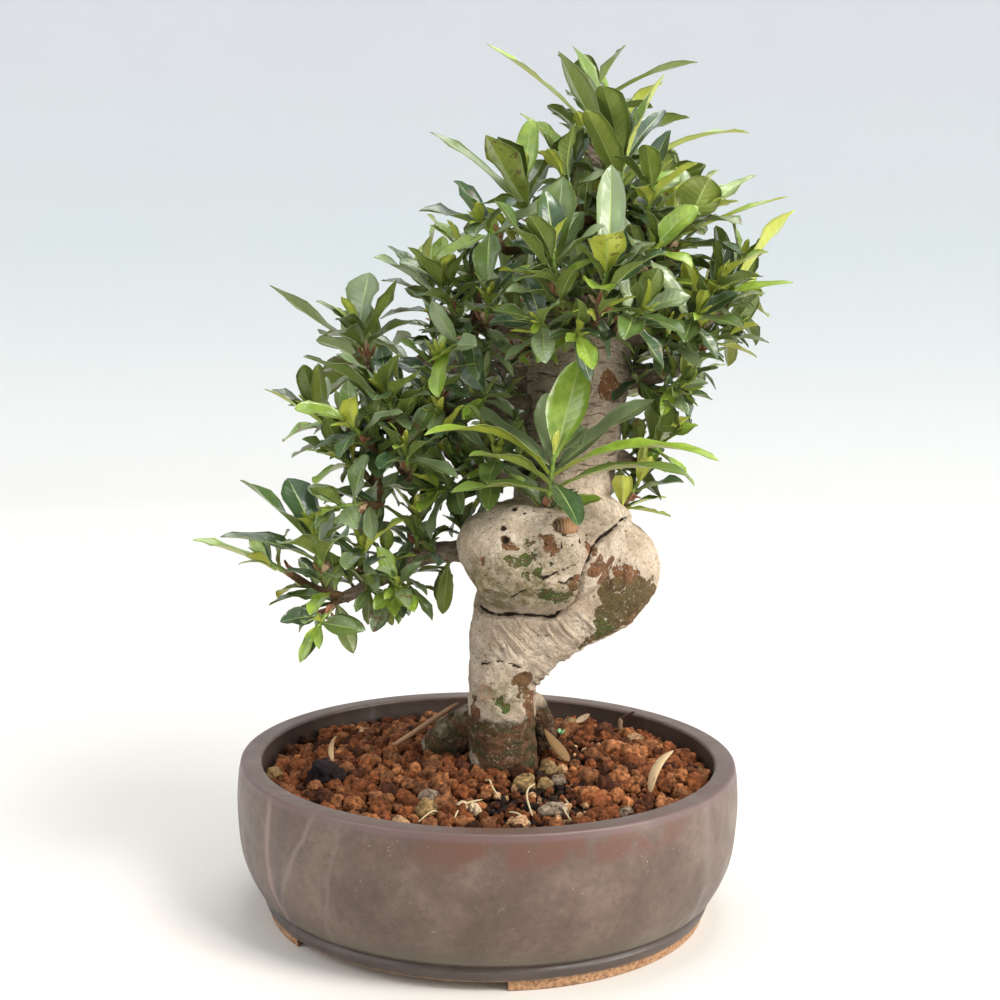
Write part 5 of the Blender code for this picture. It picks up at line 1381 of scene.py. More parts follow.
def scatter(rng, tries, size_at, packing, taken):
    """Places that keep their distance, as (x, y, radius); taken maps a cell to places in it."""
    placed = []
    edge = POT_INSIDE[1][0] - 1.0
    for _ in range(tries):
        away = edge * math.sqrt(rng.random())
        x, y, _ = polar(away, rng.uniform(0, 2 * math.pi))
        radius = size_at(x, y, rng)
        if radius is None or away > edge - 0.8 * radius or in_trunk(x, y, 0.3 * radius):
            continue
        near = [spot for i in (-1, 0, 1) for k in (-1, 0, 1) for spot in taken[near_cell(x, y, i, k)]]
        if any(math.hypot(x - px, y - py) < packing * (radius + other) for px, py, other in near):
            continue
        placed.append((x, y, radius))
        taken[near_cell(x, y)].append((x, y, radius))
    return placed


def granule_size(x, y, rng):
    """Half-size of a granule: coarse and knobbly to the right, fine on the black soil."""
    if in_black(x, y):
        return rng.uniform(1.1, 2.6) if rng.random() < 0.5 else None
    if x > COARSE_SIDE:
        return rng.choice((2.8, 4.4, 5.6, 6.8)) * rng.uniform(0.9, 1.12)
    return rng.choice((2.6, 3.4, 4.0, 4.6)) * rng.uniform(0.88, 1.15)


def filler_size(x, y, rng):
    return rng.uniform(0.9, 1.9)


def granule_paint(x, y, rng):
    draw = rng.random()
    shares = BLACK_GRAINS if in_black(x, y) else RED_GRAINS
    name = next(name for name, share in shares.items() if draw < share)
    tone = rng.uniform(0.65, 1.35) * (1.15 if x > COARSE_SIDE else 1.0)
    return [channel * tone for channel in PAINTS[name]]


def add_lump(builder, form, faces, place, size, spin, paint):
    base = len(builder.points)
    for point, hollow in form:
        shade = 1 - 0.75 * min(1.0, hollow * 1.6)
        builder.point(place + spin @ (point * Vector(size)), paint=[channel * shade for channel in paint])
    for corners in faces:
        builder.face(*(base + corner for corner in corners))


def any_spin(rng):
    return Matrix.Rotation(rng.uniform(0, 6.28), 3, "Z") @ Matrix.Rotation(rng.uniform(-3, 3), 3, "X")


def make_granules(material):
    """The loose granules over the bed, coarse ones over fine, in two pieces."""
    rng = random.Random(SEED + 3)
    coarse_ball, coarse_faces = ball(3)
    fine_ball, fine_faces = ball(2)
    coarse = [lump(coarse_ball, rng, 0.32, 0.46) for _ in range(GRAIN_KINDS)]
    fine = [lump(fine_ball, rng, 0.20, 0.30) for _ in range(GRAIN_KINDS)]
    halves = {"granules_left": Builder("paint"), "granules_right": Builder("paint")}
    taken = defaultdict(list)
    for x, y, half, deep, _, _ in STONES:
        taken[near_cell(x, y)].append((x, y, 0.9 * (half + deep) / 2))
    for x, y, *_ in COAL:
        taken[near_cell(x, y)].append((x, y, COAL_REACH))
    places = scatter(rng, GRAIN_TRIES, granule_size, 0.80, taken)
    fillers = scatter(rng, FILLER_TRIES, filler_size, 0.62, taken)
    for number, (x, y, radius) in enumerate(places + fillers):
        small = number >= len(places)
        builder = halves["granules_left" if x < 0 else "granules_right"]
        squash = [rng.uniform(low, high) * radius for low, high in GRAIN_SQUASH]
        level = soil_height(x, y) + (0.0 if small else rng.uniform(0.05, 0.55) * radius)
        level = min(level, soil_height(x, y) + GRANULE_HEIGHT + 1.2 - 0.95 * radius)
        simple = small or radius < 3.0
        form = rng.choice(fine if simple else coarse)
        faces = fine_faces if simple else coarse_faces
        add_lump(builder, form, faces, Vector((x, y, level)), squash, any_spin(rng),
                 granule_paint(x, y, rng))
    for name, builder in halves.items():
        builder.build(name, [material], "soil", "soil")


def make_bed(material):
    """The bed under the granules, closed down to the drain screen; its top is painted nearly black as the
    shade in the gaps between them.
    """
    shade_bed = Builder("paint")
    edge = POT_INSIDE[1][0] - GAP
    turns = [2 * math.pi * side / BED_SIDES for side in range(BED_SIDES)]
    rows = []
    for ring in range(BED_RINGS + 1):
        row = []
        for turn in turns:
            x, y, _ = polar(edge * (1 - ring / BED_RINGS) + 0.4 * (ring / BED_RINGS), turn)
            rough = 1.3 * noise.noise(Vector((x, y, 0)) / 3.1) + 0.8 * noise.noise(Vector((x, y, 9)) / 1.4)
            z = soil_height(x, y) - 1.6 + (rough if ring else -1.5)
            # painted shade where the bed shows between the granules
            paint = PAINTS["black" if in_black(x, y) else "shade_bed"]
            row.append(shade_bed.point((x, y, z), paint=paint))
        rows.append(row)
    shade_bed.grid(rows, closed=True)
    walls = [rows[0]]
    for radius, z in POT_INSIDE[2:]:
        walls.append([shade_bed.point(polar(radius - GAP, turn, max(z, SOIL_BOTTOM)), paint=PAINTS["dark"])
                      for turn in turns])
    shade_bed.grid(walls[::-1], closed=True)
    middle = shade_bed.point((0, 0, SOIL_BOTTOM), paint=PAINTS["dark"])
    top = shade_bed.point((0, 0, soil_height(0, 0) - 0.6), paint=PAINTS["dark"])
    for side in range(BED_SIDES):
        after = (side + 1) % BED_SIDES
        shade_bed.face(walls[-1][after], walls[-1][side], middle)
        shade_bed.face(rows[-1][side], rows[-1][after], top)
    shade_bed.build("soil_shade_bed", [material], "soil", "soil")


def make_stones(name, stones, fineness, rough, knobs, turns, rng, material):
    """Stones or charcoal on the soil, each from its own draw."""
    points, faces = ball(fineness)
    made = Builder("paint")
    for x, y, half, deep, high, paint in stones:
        form = lump(points, rng, rough, knobs)
        place = Vector((x, y, soil_height(x, y) + 0.35 * high))
        spin = Matrix.Rotation(rng.uniform(*turns), 3, "Z")
        add_lump(made, form, faces, place, (half, deep, high), spin, PAINTS[paint])
    made.build(name, [material], "soil", "soil")


def carried(across, forward):
    """The ring's first direction, carried along a tube without twist."""
    moved = across - forward * across.dot(forward)
    return moved.normalized() if moved.length > 1e-4 else forward.orthogonal().normalized()


def add_tube(builder, path, sides, slot, values, shape=None):
    """A round tube with closed ends; values(share, k) gives each point's attributes."""
    places = [Vector(p[:3]) for p in path]
    across = (places[1] - places[0]).orthogonal().normalized()
    last = len(path) - 1
    rows = []
    for i, centre in enumerate(places):
        forward = (places[min(i + 1, last)] - places[max(i - 1, 0)]).normalized()
        across = carried(across, forward)
        over = forward.cross(across)
        row = []
        for k in range(sides):
            turn = 2 * math.pi * k / sides
            place = centre + (across * math.cos(turn) + over * math.sin(turn)) * path[i][3]
            if shape:
                place = shape(centre, place)
            row.append(builder.point(place, **values(i / last, k)))
        rows.append(row)
    builder.grid([row[::-1] for row in rows], closed=True, slot=slot)
    builder.face(*rows[0][::-1], slot=slot)
    builder.face(*rows[-1], slot=slot)


def add_strip(builder, root, forward, side, length, width, curl, paint, slot=0, cup=0.25, twist=0.0):
    """A curled pointed strip with two faces: a dry leaf or a papery scale."""
    rows = {1: [], -1: []}
    place = root.copy()
    ahead = forward.normalized()
    side = side.normalized()
    bend = -math.radians(curl) / STRIP_STEPS
    for i in range(STRIP_STEPS + 1):
        t = i / STRIP_STEPS
        normal = ahead.cross(side)
        wide = width / 2 * max(0.05, 1.9 * t ** 0.55 * (1 - t) ** 0.62)
        if i:
            ahead = Matrix.Rotation(bend, 3, side) @ ahead
            place = place + ahead * (length / STRIP_STEPS)
        for face, made in rows.items():
            row = []
            for s in STRIP_ACROSS:
                spot = place + side * (wide * s) + normal * (cup * wide * s * s + face * 0.14)
                row.append(builder.point(spot, paint=paint, lie=(t * length * MM, wide * s * MM, 0.0)))
            made.append(row)
        side = (Matrix.Rotation(twist / STRIP_STEPS, 3, ahead) @ side).normalized()
    builder.grid([row[::-1] for row in rows[1]], slot=slot)
    builder.grid(rows[-1], slot=slot)
    for k in (0, -1):
        left = [row[k] for row in rows[1]]
        right = [row[k] for row in rows[-1]]
        builder.grid([left, right] if k else [right, left], slot=slot)


def make_litter(material):
    """Dry leaves, a needle, a broken stub, fine roots and a sprout on the soil."""
    rng = random.Random(SEED + 6)
    litter = Builder("paint", "lie")
    for paint, length, width, curl, (x, y, height), forward, side in LITTER:
        forward = Vector(forward).normalized()
        side = Vector(side) - forward * forward.dot(Vector(side))
        root = Vector((x, y, soil_height(x, y) + height))
        add_strip(litter, root, forward, side, length, width, curl, PAINTS[paint],
                  twist=rng.uniform(-0.6, 0.6))
    litter.build("dry_leaves", [material], "soil", "soil")
    strands = Builder("paint", "lie")
    for paint, radius, points in STRANDS:
        path = smooth_path([(x, y, soil_height(x, y) + height, radius) for x, y, height in points], 6)
        last = len(path) - 1
        thinned = [(x, y, z, r * (1 - 0.55 * (2 * i / last - 1) ** 4))
                   for i, (x, y, z, r) in enumerate(path)]
        add_tube(strands, thinned, 7, 0, lambda share, k, paint=paint: {
            "paint": PAINTS[paint], "lie": (share * 0.04, 0.0004 * k, 0.0)})
    root = Vector((*SPROUT, soil_height(*SPROUT) + 8.5))
    for k in range(4):                      # the sprout's leaves
        turn = math.radians(90 * k + 20)
        side = Vector((-math.sin(turn), math.cos(turn), 0))
        add_strip(strands, root, Vector(polar(1, turn, 0.7)), side, 3.2, 1.8, 30, PAINTS["sprout"])
    strands.build("fine_roots", [material], "soil", "soil")


# Bark and wood

def smooth(value, low, high):
    t = max(0.0, min(1.0, (value - low) / (high - low)))
    return t * t * (3 - 2 * t)


def noise_at(p, size, shift=0.0):
    return noise.noise(p / size + Vector((shift, shift, shift)))


def hump(value, middle, width):
    return math.exp(-((value - middle) / width) ** 2)


def within(p, ball, low, high):
    """How deep a place lies inside a ball of (middle, radius), from 0 at low to 1 at high."""
    return smooth(ball[1] - (p - Vector(ball[0])).length, low, high)


def wrinkles(p):
    """How wrinkled the bark is below the bulb, the relief of its wrinkles and their shade."""
    x, y, z = p
    run = within(p, WRINKLED, 8, 26) * smooth(139 - z, 0, 4)
    run *= smooth(x, -2, 8)
    u, v = 0.75 * x + 0.66 * z, 0.66 * x - 0.75 * z
    u += 2.5 * noise.noise(Vector((u / 22, v / 26, 0.5)))
    crest = noise.noise(Vector((u / 3.8, v / 60, y / 30)))
    strand = noise.noise(Vector((u / 2.0, v / 36, y / 18 + 5)))
    run *= 0.25 + 0.75 * smooth(noise.noise(Vector((u / 9, v / 16, 7))), -0.3, 0.25)
    ridge = max(0.0, 1 - abs(crest) * 4.5)
    shade = run * smooth(abs(crest) - 0.6 * ridge, 0.30, 0.62) * 0.55
    return run, run * (1.25 * ridge + 0.75 * strand - 0.3), shade


def grooves(p, lines):
    """Relief and shade of the grooves between the knots, the pits and the bud scar's socket."""
    lift, dark = 0.0, 0.0
    for line, depth, width in lines:
        away = line.find(p)[2]
        if away < 6:
            away += 0.5 * noise_at(p, 3.0, 12.0)
            lift += 0.22 * depth * hump(away, 2.2, 1.2) - depth * hump(away, 0, 1.4 * width)
            dark = max(dark, (1.2 - 0.6 * away / width) * (0.9 + 0.25 * noise_at(p, 5.0, 15.0)))
    for place, radius, depth in PITS:
        away = (p - Vector(place)).length / radius
        if away < 2:
            lift += 0.6 * hump(away, 1.0, 0.28) - depth * hump(away, 0, 0.6)
            dark = max(dark, 1.2 - away / 0.62 * 0.6) if depth > 0.7 else dark
    socket = (p - Vector(BUD_SCAR[0])).length
    lift += 0.3 * hump(socket, 6.8, 1.3) - 0.9 * math.exp(-(socket / 4.5) ** 4)
    return lift, max(dark, 0.66 - abs(socket - 5.0) * 0.4)


def covered(p, spots, reach, soft):
    """How far a place is in each (middle, radius, ...) of the spots, from 0 to 1."""
    return [smooth(reach - math.dist(p, spot[0]) / spot[1], 0.0, soft) for spot in spots]


def bark_at(p, lines):
    """The bark at a place in mm: relief outwards, and what its material reads."""
    x, y, z = p
    lift = 0.45 * noise_at(p, 8.0) + 0.40 * noise_at(p, 3.2) + 0.28 * noise_at(p, 1.9)
    wrinkled, relief, dark = wrinkles(p)
    lift += relief
    # roots and foot, ringed upper trunk, rough burl, crusty top of the bulb
    foot = smooth(FOOT_HEIGHT - z, 0, 14)
    lift += foot * 0.55 * noise.noise(Vector((x / 2.6, y / 2.6, z / 17)))
    high = smooth(z, RINGED_HEIGHT, RINGED_HEIGHT + 14)
    ring_line = noise.noise(Vector((x / 14, y / 14, (z + 0.12 * x) / 1.9)))
    lift += high * (0.50 * ring_line + 0.35 * noise.noise(Vector((x / 3, y / 3, z / 9))))
    burl = within(p, BURL, 0, 9)
    lift += burl * (1.5 * noise_at(p, 4.6, 4.0) + 0.8 * noise_at(p, 2.2, 4.0))
    crusty = within(p, CRUSTED, 0, 8)
    lift += crusty * (0.9 * noise_at(p, 2.8, 9.0) + 0.5 * max(0.0, noise_at(p, 1.8, 2.0)))
    relief, shade = grooves(p, lines)
    lift += relief
    # painted shade in the grooves and pits, and in the hollows of the burl and of the crust
    dark = max(dark, shade, burl * smooth(-noise_at(p, 4.6, 4.0), 0.1, 0.4) * 0.9,
               crusty * smooth(-noise_at(p, 2.8, 9.0), 0.28, 0.5) * 0.8)
    # what has come off, its outlines drawn out by a slow drift
    drift = p + 2.6 * noise.noise_vector(p / 5.0) + 1.2 * noise.noise_vector(p / 2.2)
    loss, green, warm, share = 0.0, 0.0, 0.0, 0.001
    for part, (_, _, much, greenness, warmth) in zip(covered(drift, BARE, 1.3, 0.65), BARE):
        weight = much * part
        loss = max(loss, weight)
        green += weight * greenness
        warm += weight * warmth
        share += weight
    low = smooth(BARE_FOOT[0] - z, 0, BARE_FOOT[0] - BARE_FOOT[1])
    kept = max(covered(drift, KEPT, 1.3, 0.6))
    loss = max(loss, 0.84 * low) * (1 - 0.62 * kept * low)
    left_on = low * kept
    low -= left_on
    lift += foot * low * (0.7 * noise_at(p, 3.0, 31.0) + 0.5 * noise_at(p, 6.0, 33.0))
    green += low * 0.75 * smooth(noise_at(p, 10.0, 21.0), 0.0, 0.25)
    warm += low * 0.9
    share += low
    film = max(part * spot[2] for part, spot in zip(covered(p, FILM, 1.15, 0.6), FILM))
    cover = 0.60 + 0.55 * (0.62 * noise_at(p, 9.0, 2.0) + 0.42 * noise_at(p, 4.2, 3.0)) - loss
    lift += 0.40 * smooth(cover, -0.05, 0.1)
    lift += 0.5 * hump(cover, 0.08, 0.10) * max(0.0, noise_at(p, 1.8, 6.0))
    pale = max(0.0, min(1.0, 0.5 + 0.9 * cover))
    scarred = 0.0
    scar = (p - Vector(PRUNE_SCAR)).length
    if scar < 4.2:
        pale = 1.0
        scarred = max(0.0, 1 - abs(scar - 2.7) / 1.1)
        dark = 0.0
    # darker between 134 and 150 mm, under the bulb and the elbow: painted shade; darker still on the bare
    # foot and its kept patches
    below = smooth(150 - z, 0, 14) * smooth(z, 134, 140) * 0.25 + low * 0.95 + left_on * 0.55
    return (lift, (pale, green / share, min(1.2, dark)), (warm / share, film, below),
            (wrinkled, high, scarred))


def limb_skin(name, collection):
    """A limb as in part.py, before it was thinned."""
    limb = tube(name, rounded_ends(smooth_path(LIMBS[name], 4)), 4, collection)
    remesh(limb, LIMB_VOXEL, 6)
    for vert in limb.data.vertices:
        swell = noise.noise(vert.co / (BARK_SCALE * MM))
        fine = noise.noise(vert.co / (0.4 * BARK_SCALE * MM))
        vert.co += vert.normal * (BARK_SWELL * swell + 0.4 * BARK_SWELL * fine) * MM
    return limb


def laid_on(skin, line):
    """A line of places drawn finer and laid on the skin, ready to measure distances from."""
    points = [Vector(place) for place in line]
    finer = [a.lerp(b, k / 14) for a, b in zip(points, points[1:]) for k in range(14)]
    laid = KDTree(len(finer))
    for number, place in enumerate(finer):
        laid.insert(skin.find_nearest(place)[0], number)
    laid.balance()
    return laid


def make_trunk_wood(material):
    """The thick wood as one fine skin with its bark's relief."""
    work = bpy.data.collections.new("work")
    bpy.context.scene.collection.children.link(work)
    bm = bmesh.new()
    for name in LIMBS:
        bm.from_mesh(limb_skin(name, work).data)
    body = add_object("trunk_wood", mesh_from("trunk_wood", bm), work)
    remesh(body, TRUNK_VOXEL, 3)
    mesh = body.data
    for thing in list(work.objects):
        bpy.data.objects.remove(thing, do_unlink=True)
    bpy.data.collections.remove(work)
    skin = BVHTree.FromPolygons([vert.co / MM for vert in mesh.vertices],
                                [tuple(face.vertices) for face in mesh.polygons])
    lines = [(laid_on(skin, line), depth, width) for line, depth, width in LINES]
    read = {"bark": [], "bark_tone": [], "bark_lines": []}
    places = []
    for vert in mesh.vertices:
        lift, *values = bark_at(vert.co / MM, lines)
        places.extend(vert.co + vert.normal * lift * MM)
        for numbers, value in zip(read.values(), values):
            numbers.extend(value)
    mesh.vertices.foreach_set("co", places)
    add_attributes(mesh, read)
    mesh.update()
    settle("trunk_wood", dressed(mesh, material), "bark", "trunk")


def wood_path(path):
    """Points of a path at an even pitch, on a smooth curve."""
    length = sum((Vector(b[:3]) - Vector(a[:3])).length for a, b in zip(path, path[1:]))
    return smooth_path(path, max(2, int(length / (WOOD_PITCH * (len(path) - 1)))))


def rough_skin(amount):
    """A shape for add_tube with knots and swellings, less so on thick wood."""
    def shape(centre, place):
        out = place - centre
        swell = noise_at(place, 5.0) * 0.16 + noise_at(place, 1.9) * 0.12
        knot = max(0.0, noise_at(place, 3.3, 8.0)) * 0.18
        return centre + out * (1 + amount * (swell + knot) * min(1.0, 3.0 / out.length + 0.35))
    return shape


def make_branch_wood(plan, material):
    """Branches and twigs, with knots and rings in their bark."""
    wood = Builder("bark", "bark_tone", "bark_lines")
    rng = random.Random(SEED + 7)
    for points in BRANCHES.values():
        brown = rng.uniform(0.45, 0.85)
        path = wood_path(smooth_path(points, BRANCH_STEPS))
        add_tube(wood, path, BRANCH_SIDES, 0, lambda share, k: {
            "bark": (0.78 - 0.4 * brown * share, 0.15, 0.0), "bark_tone": (0.7, 0.1, brown),
            "bark_lines": (0.0, 0.5, 0.0)}, rough_skin(1.0))
    for shoot in plan:
        brown = rng.uniform(0.5, 1.0)
        add_tube(wood, wood_path(shoot["twig"]), TWIG_SIDES, 0, lambda share, k: {
            "bark": (0.5 - 0.3 * share, 0.2 + 0.4 * share, 0.0), "bark_tone": (0.8, 0.1, brown),
            "bark_lines": (0.0, 0.3, 0.0)}, rough_skin(0.8))
    wood.build("branch_wood", [material], "bark", "trunk")


def make_bud_scar(material):
    """The ridged brown scar on the bulb."""
    points, faces = ball(5)
    place, outward = Vector(BUD_SCAR[0]), Vector(BUD_SCAR[1]).normalized()
    across = Vector((1, 0.25, 0)) - outward * Vector((1, 0.25, 0)).dot(outward)
    across.normalize()
    up = outward.cross(across)
    half, high, deep = BUD_SCAR_HALF
    scar = Builder("paint", "lie")
    for point in points:
        wander = point[0] + 0.06 * point[1] ** 2 + 0.04 * noise.noise(point * 3)
        line = math.sin(wander * 30 + 4 * wander ** 2)
        ridge = 1 + 0.022 * line * smooth(-point[0], -0.5, 0.3) + 0.05 * noise.noise(point * 2.2)
        spot = across * point[0] * half + up * point[1] * high + outward * point[2] * deep
        # darker towards its left end: partly the scar's own colour, partly painted shade of the hollow it
        # sits in
        light = 0.16 + 0.95 * smooth(point[0], -0.95, 0.35) + 0.42 * line * smooth(-point[0], -0.7, 0.1)
        paint = [channel * max(0.1, light) for channel in PAINTS["scar"]]
        scar.point(place + spot * ridge, paint=paint, lie=(point[1] * 0.004, point[0] * 0.006, 0.0))
    for corners in faces:
        scar.face(*corners)
    scar.build("bud_scar", [material], "bark", "trunk")


# Leaves

def add_fine_blade(builder, blade, tint, youth_and_sheen, worn, rng):
    """A blade with two faces, a midrib, a rippled edge and a pointed, slightly hooked tip."""
    tops, bottoms = [], []
    chord, half = blade["chord"], blade["width"] / 2
    small = chord < SMALL_BLADE
    stations, shares = (SMALL_ALONG, SMALL_ACROSS) if small else (ALONG, ACROSS)
    factor, base_power, tip_power = LEAF_SHAPE
    looks = {"leaf_tone": (tint, youth_and_sheen, worn)}
    ripple = rng.uniform(0.15, 0.4)
    phase = rng.uniform(0, 6.28)
    hook = rng.uniform(-0.2, 1.0)
    for t in stations:
        centre, normal, side = blade_frame(blade, chord, t)
        stalk = 1 - smooth(t, 0.02, 0.14)
        reach = max(half * factor * t ** base_power * (1 - t) ** tip_power, TIP_HALF, PETIOLE * stalk)
        wave = edge_wave(blade, t) * min(1.0, reach / half)
        dip = -hook * chord * 0.25 * max(0.0, t - 0.86) ** 1.5
        thick = SKIN * (1 - 0.5 * t) + 0.35 * stalk
        top_row, bottom_row = [], []
        for s in shares:
            out = abs(s)
            rise = BLADE_FOLD * reach * out ** 1.2 * (1 - stalk) + wave * s
            rise -= 0.22 * reach * max(0.0, out - 0.45) ** 2
            rise += (ripple * math.sin(2 * math.pi * 4.3 * t + phase + 1.3 * s)
                     * out ** 3 * min(1.0, reach / 3))
            middle = centre + side * (reach * s) + normal * (rise + dip)
            rib = RIB * (0.4 if small else 1.0) * (1 - 0.75 * t) * max(0.0, 1 - out / 0.2)
            skin = thick * (1 - 0.6 * out ** 4)
            above = middle + normal * (skin - 0.4 * rib * (1 - stalk))
            below = middle - normal * (skin + rib)
            top_row.append(builder.point(above, blade=(s, t, 0.0), **looks))
            bottom_row.append(builder.point(below, blade=(s, t, 1.0), **looks))
        tops.append(top_row)
        bottoms.append(bottom_row)
    builder.sheet(tops)
    builder.sheet(bottoms, under=True)
    left, right = [[[row[k] for row in rows] for rows in (bottoms, tops)] for k in (0, -1)]
    builder.grid(right[::-1])
    builder.grid(left)
    builder.grid([tops[-1], bottoms[-1]])


def leaf_looks(shoot, key, blade, rng):
    """Tint, newness and wear of a leaf; newness below 0 stands for a painted sheen of the sky."""
    kinds = LEAF_KINDS.get(shoot["name"], "")
    if blade["tip"] is not None and blade["tip"] < len(kinds):
        kind = next(kind for kind in KIND_LOOKS if kind[0] == kinds[blade["tip"]])
    else:
        share = (key[0] + 0.5) / shoot["pairs"]
        new = 0.12 + 0.55 * max(0.0, share - 0.55) + (0.12 if shoot["start"].x > 55 else 0.0)
        kind = "bright" if rng.random() < new else rng.choice(OTHER_KINDS)
    tint, youth_and_sheen = KIND_LOOKS[kind]
    tint += rng.uniform(-0.12, 0.18)
    youth_and_sheen += rng.uniform(-0.08, 0.12)
    worn = 0.8 if rng.random() < 0.14 else 0.0
    return max(0.0, min(1.0, tint)), max(-1.0, min(1.0, youth_and_sheen)), worn


def small_blade(start, reach, axis, width, bend, rng):
    """A new leaf or bud scale that stands free on the stem."""
    blade = blade_towards((start,) * 4, reach, axis, bend, width, rng)
    return {**blade, "start": start, "tip": None}


def square_to(forward, turn):
    """A direction square to another, turned round it."""
    return Matrix.Rotation(turn, 3, forward) @ forward.orthogonal().normalized()


def add_stem(builder, centres, axis):
    """A stem through its rings' centres, swollen at each node."""
    path = []
    for i, centre in enumerate(centres):
        radius = STEM_RADIUS * (0.84 - 0.3 * i / (len(centres) - 1))
        path.append((*(centre - axis * (0.7 if i else 1.2)), radius * 0.86))
        path.append((*centre, radius * 1.08))
    path.append((*(centres[-1] + axis * 1.6), 0.55))
    nodes = (len(path) - 1) / 9.0
    add_tube(builder, smooth_path(path, 2), STEM_SIDES, 1, lambda share, k: {
        "blade": (0.0, share * nodes, 0.0), "leaf_tone": (0.5, 0.4, 0.0)})


def add_new_leaves(builder, shoot, centres, rng):
    """The bud of a shoot and the newest leaves round it."""
    axis, sides, pairs = shoot["axis"], side_directions(shoot), shoot["pairs"]
    for k in range(2):
        out = sides[k * 2 + pairs % 2]
        reach = axis * (BUD_LENGTH + 1) + out * rng.uniform(0.8, 1.6)
        blade = small_blade(centres[-1] + out * 0.3, reach, axis, 2.6, -12, rng)
        add_fine_blade(builder, blade, 0.9, 0.95, 0.0, rng)
    newest = 0 if shoot["name"] in WHOLE_BY_HAND else 2 if pairs < 4 else 4
    for k in range(newest):
        out = sides[(k + pairs + 1) % 4]
        length = rng.uniform(10, 17)
        reach = leaning(axis, out, math.radians(rng.uniform(16, 42)), length)
        start = centres[-1 - k // 2] + out * 0.8
        if outside(start + reach):
            continue
        width = length * rng.uniform(0.26, 0.36)
        blade = small_blade(start, reach, axis, width, rng.uniform(5, 40), rng)
        add_fine_blade(builder, blade, 0.85, rng.uniform(0.65, 1.0), 0.0, rng)


def add_sheaths(builder, shoot, foot, rng):
    """Papery sheaths round the foot of a stem."""
    axis = shoot["axis"]
    for _ in range(rng.choice((3, 4, 5))):
        out = Matrix.Rotation(rng.uniform(0, 6.28), 3, axis) @ side_directions(shoot)[0]
        paint = PAINTS["sheath_pale" if rng.random() < 0.35 else "sheath"]
        start = foot + axis * rng.uniform(-1.0, 3.5) + out * 1.2
        forward = axis * 0.9 + out * rng.uniform(0.25, 0.8)
        add_strip(builder, start, forward, axis.cross(out), rng.uniform(4.0, 6.5),
                  rng.uniform(2.4, 3.6), rng.uniform(-60, 70), paint, slot=2, cup=-0.5)


def make_fine_shoot(shoot, blades, materials):
    """A shoot's fine stem, blades, new leaves, bud and papery sheaths."""
    name = shoot["name"]
    rng = random.Random(sum(ord(letter) for letter in name) * 31 + SEED)
    leafy = Builder("blade", "leaf_tone", "paint", "lie")
    for key, blade in blades.items():
        tint, youth_and_sheen, worn = leaf_looks(shoot, key, blade, rng)
        if name in WHOLE_BY_HAND and youth_and_sheen < -0.5:
            blade = {**blade, "width": blade["width"] * FLANK_WIDER}
        add_fine_blade(leafy, blade, tint, youth_and_sheen, worn, rng)
    centres = [middle_of(ring) for ring in stem_rings(shoot)[0]]
    add_stem(leafy, centres, shoot["axis"])
    add_new_leaves(leafy, shoot, centres, rng)
    add_sheaths(leafy, shoot, centres[0], rng)
    leafy.build("leaves_" + name, [materials["leaf"], materials["stem"], materials["dry"]],
                "leaf", "shoot_" + name)


def make_small_leaves(plan, materials):
    """Small leaves along the twigs, and short side shoots of them on the branches."""
    rng = random.Random(SEED + 9)
    halves = [Builder("blade", "leaf_tone"), Builder("blade", "leaf_tone")]
    wood = [(Vector(place[:3]), place[3]) for limb in LIMBS.values() for place in smooth_path(limb, 3)]

    def in_wood(place):
        return any((place - centre).length < radius for centre, radius in wood)

    def leaf(start, axis, out, slope, length):
        reach = leaning(axis, out, math.radians(slope), length)
        if outside(start + reach) or in_wood(start + reach * 0.5) or in_wood(start + reach):
            return
        blade = small_blade(start, reach, (axis + out).normalized(), length * rng.uniform(0.29, 0.40),
                            rng.uniform(5, 45), rng)
        looks = leaf_looks({"pairs": 9, "name": "", "start": start}, (0, 0), blade, rng)
        add_fine_blade(halves[start.x > RIGHT_HALF], blade, *looks, rng)

    for shoot in plan:
        twig = wood_path(shoot["twig"])
        for k in range(TWIG_LEAVES):
            place, forward, radius = along(twig, rng.uniform(0.35, 1.0))
            out = square_to(forward, k * GOLDEN_ANGLE + rng.uniform(-0.5, 0.5))
            leaf(place + out * 0.6 * radius, forward, out, rng.uniform(35, 80), rng.uniform(12, 25))
    for name, count in TUFTS.items():
        branch = wood_path(smooth_path(BRANCHES[name], BRANCH_STEPS))
        for k in range(count):
            place, forward, radius = along(branch, 0.12 + 0.86 * (k + rng.random()) / count)
            out = square_to(forward, k * GOLDEN_ANGLE + rng.uniform(-0.4, 0.4))
            axis = (out + forward * rng.uniform(0.1, 0.8) + Vector((0, 0, 0.3))).normalized()
            height = rng.uniform(6, 12)
            start = place + out * 0.7 * radius
            if in_wood(start + axis * height):
                continue
            stem = [(*(start + axis * height * share), 0.9 - 0.4 * share) for share in (0.0, 0.5, 1.0)]
            add_tube(halves[start.x > RIGHT_HALF], stem, 5, 1,
                     lambda share, k: {"blade": (0.0, share, 0.0), "leaf_tone": (0.5, 0.4, 0.0)})
            across = axis.orthogonal().normalized()
            for level in range(3):
                across = Matrix.Rotation(math.radians(90 + rng.uniform(-15, 15)), 3, axis) @ across
                for out in (across, -across):
                    leaf(start + axis * height * (0.4 + 0.3 * level), axis, out,
                         rng.uniform(58, 84) - 19 * level, rng.uniform(13, 24) * (1 - 0.12 * level))
    for name, builder in zip(("small_leaves_left", "small_leaves_right"), halves):
        builder.build(name, [materials["leaf"], materials["stem"]], "leaf")


# Stage

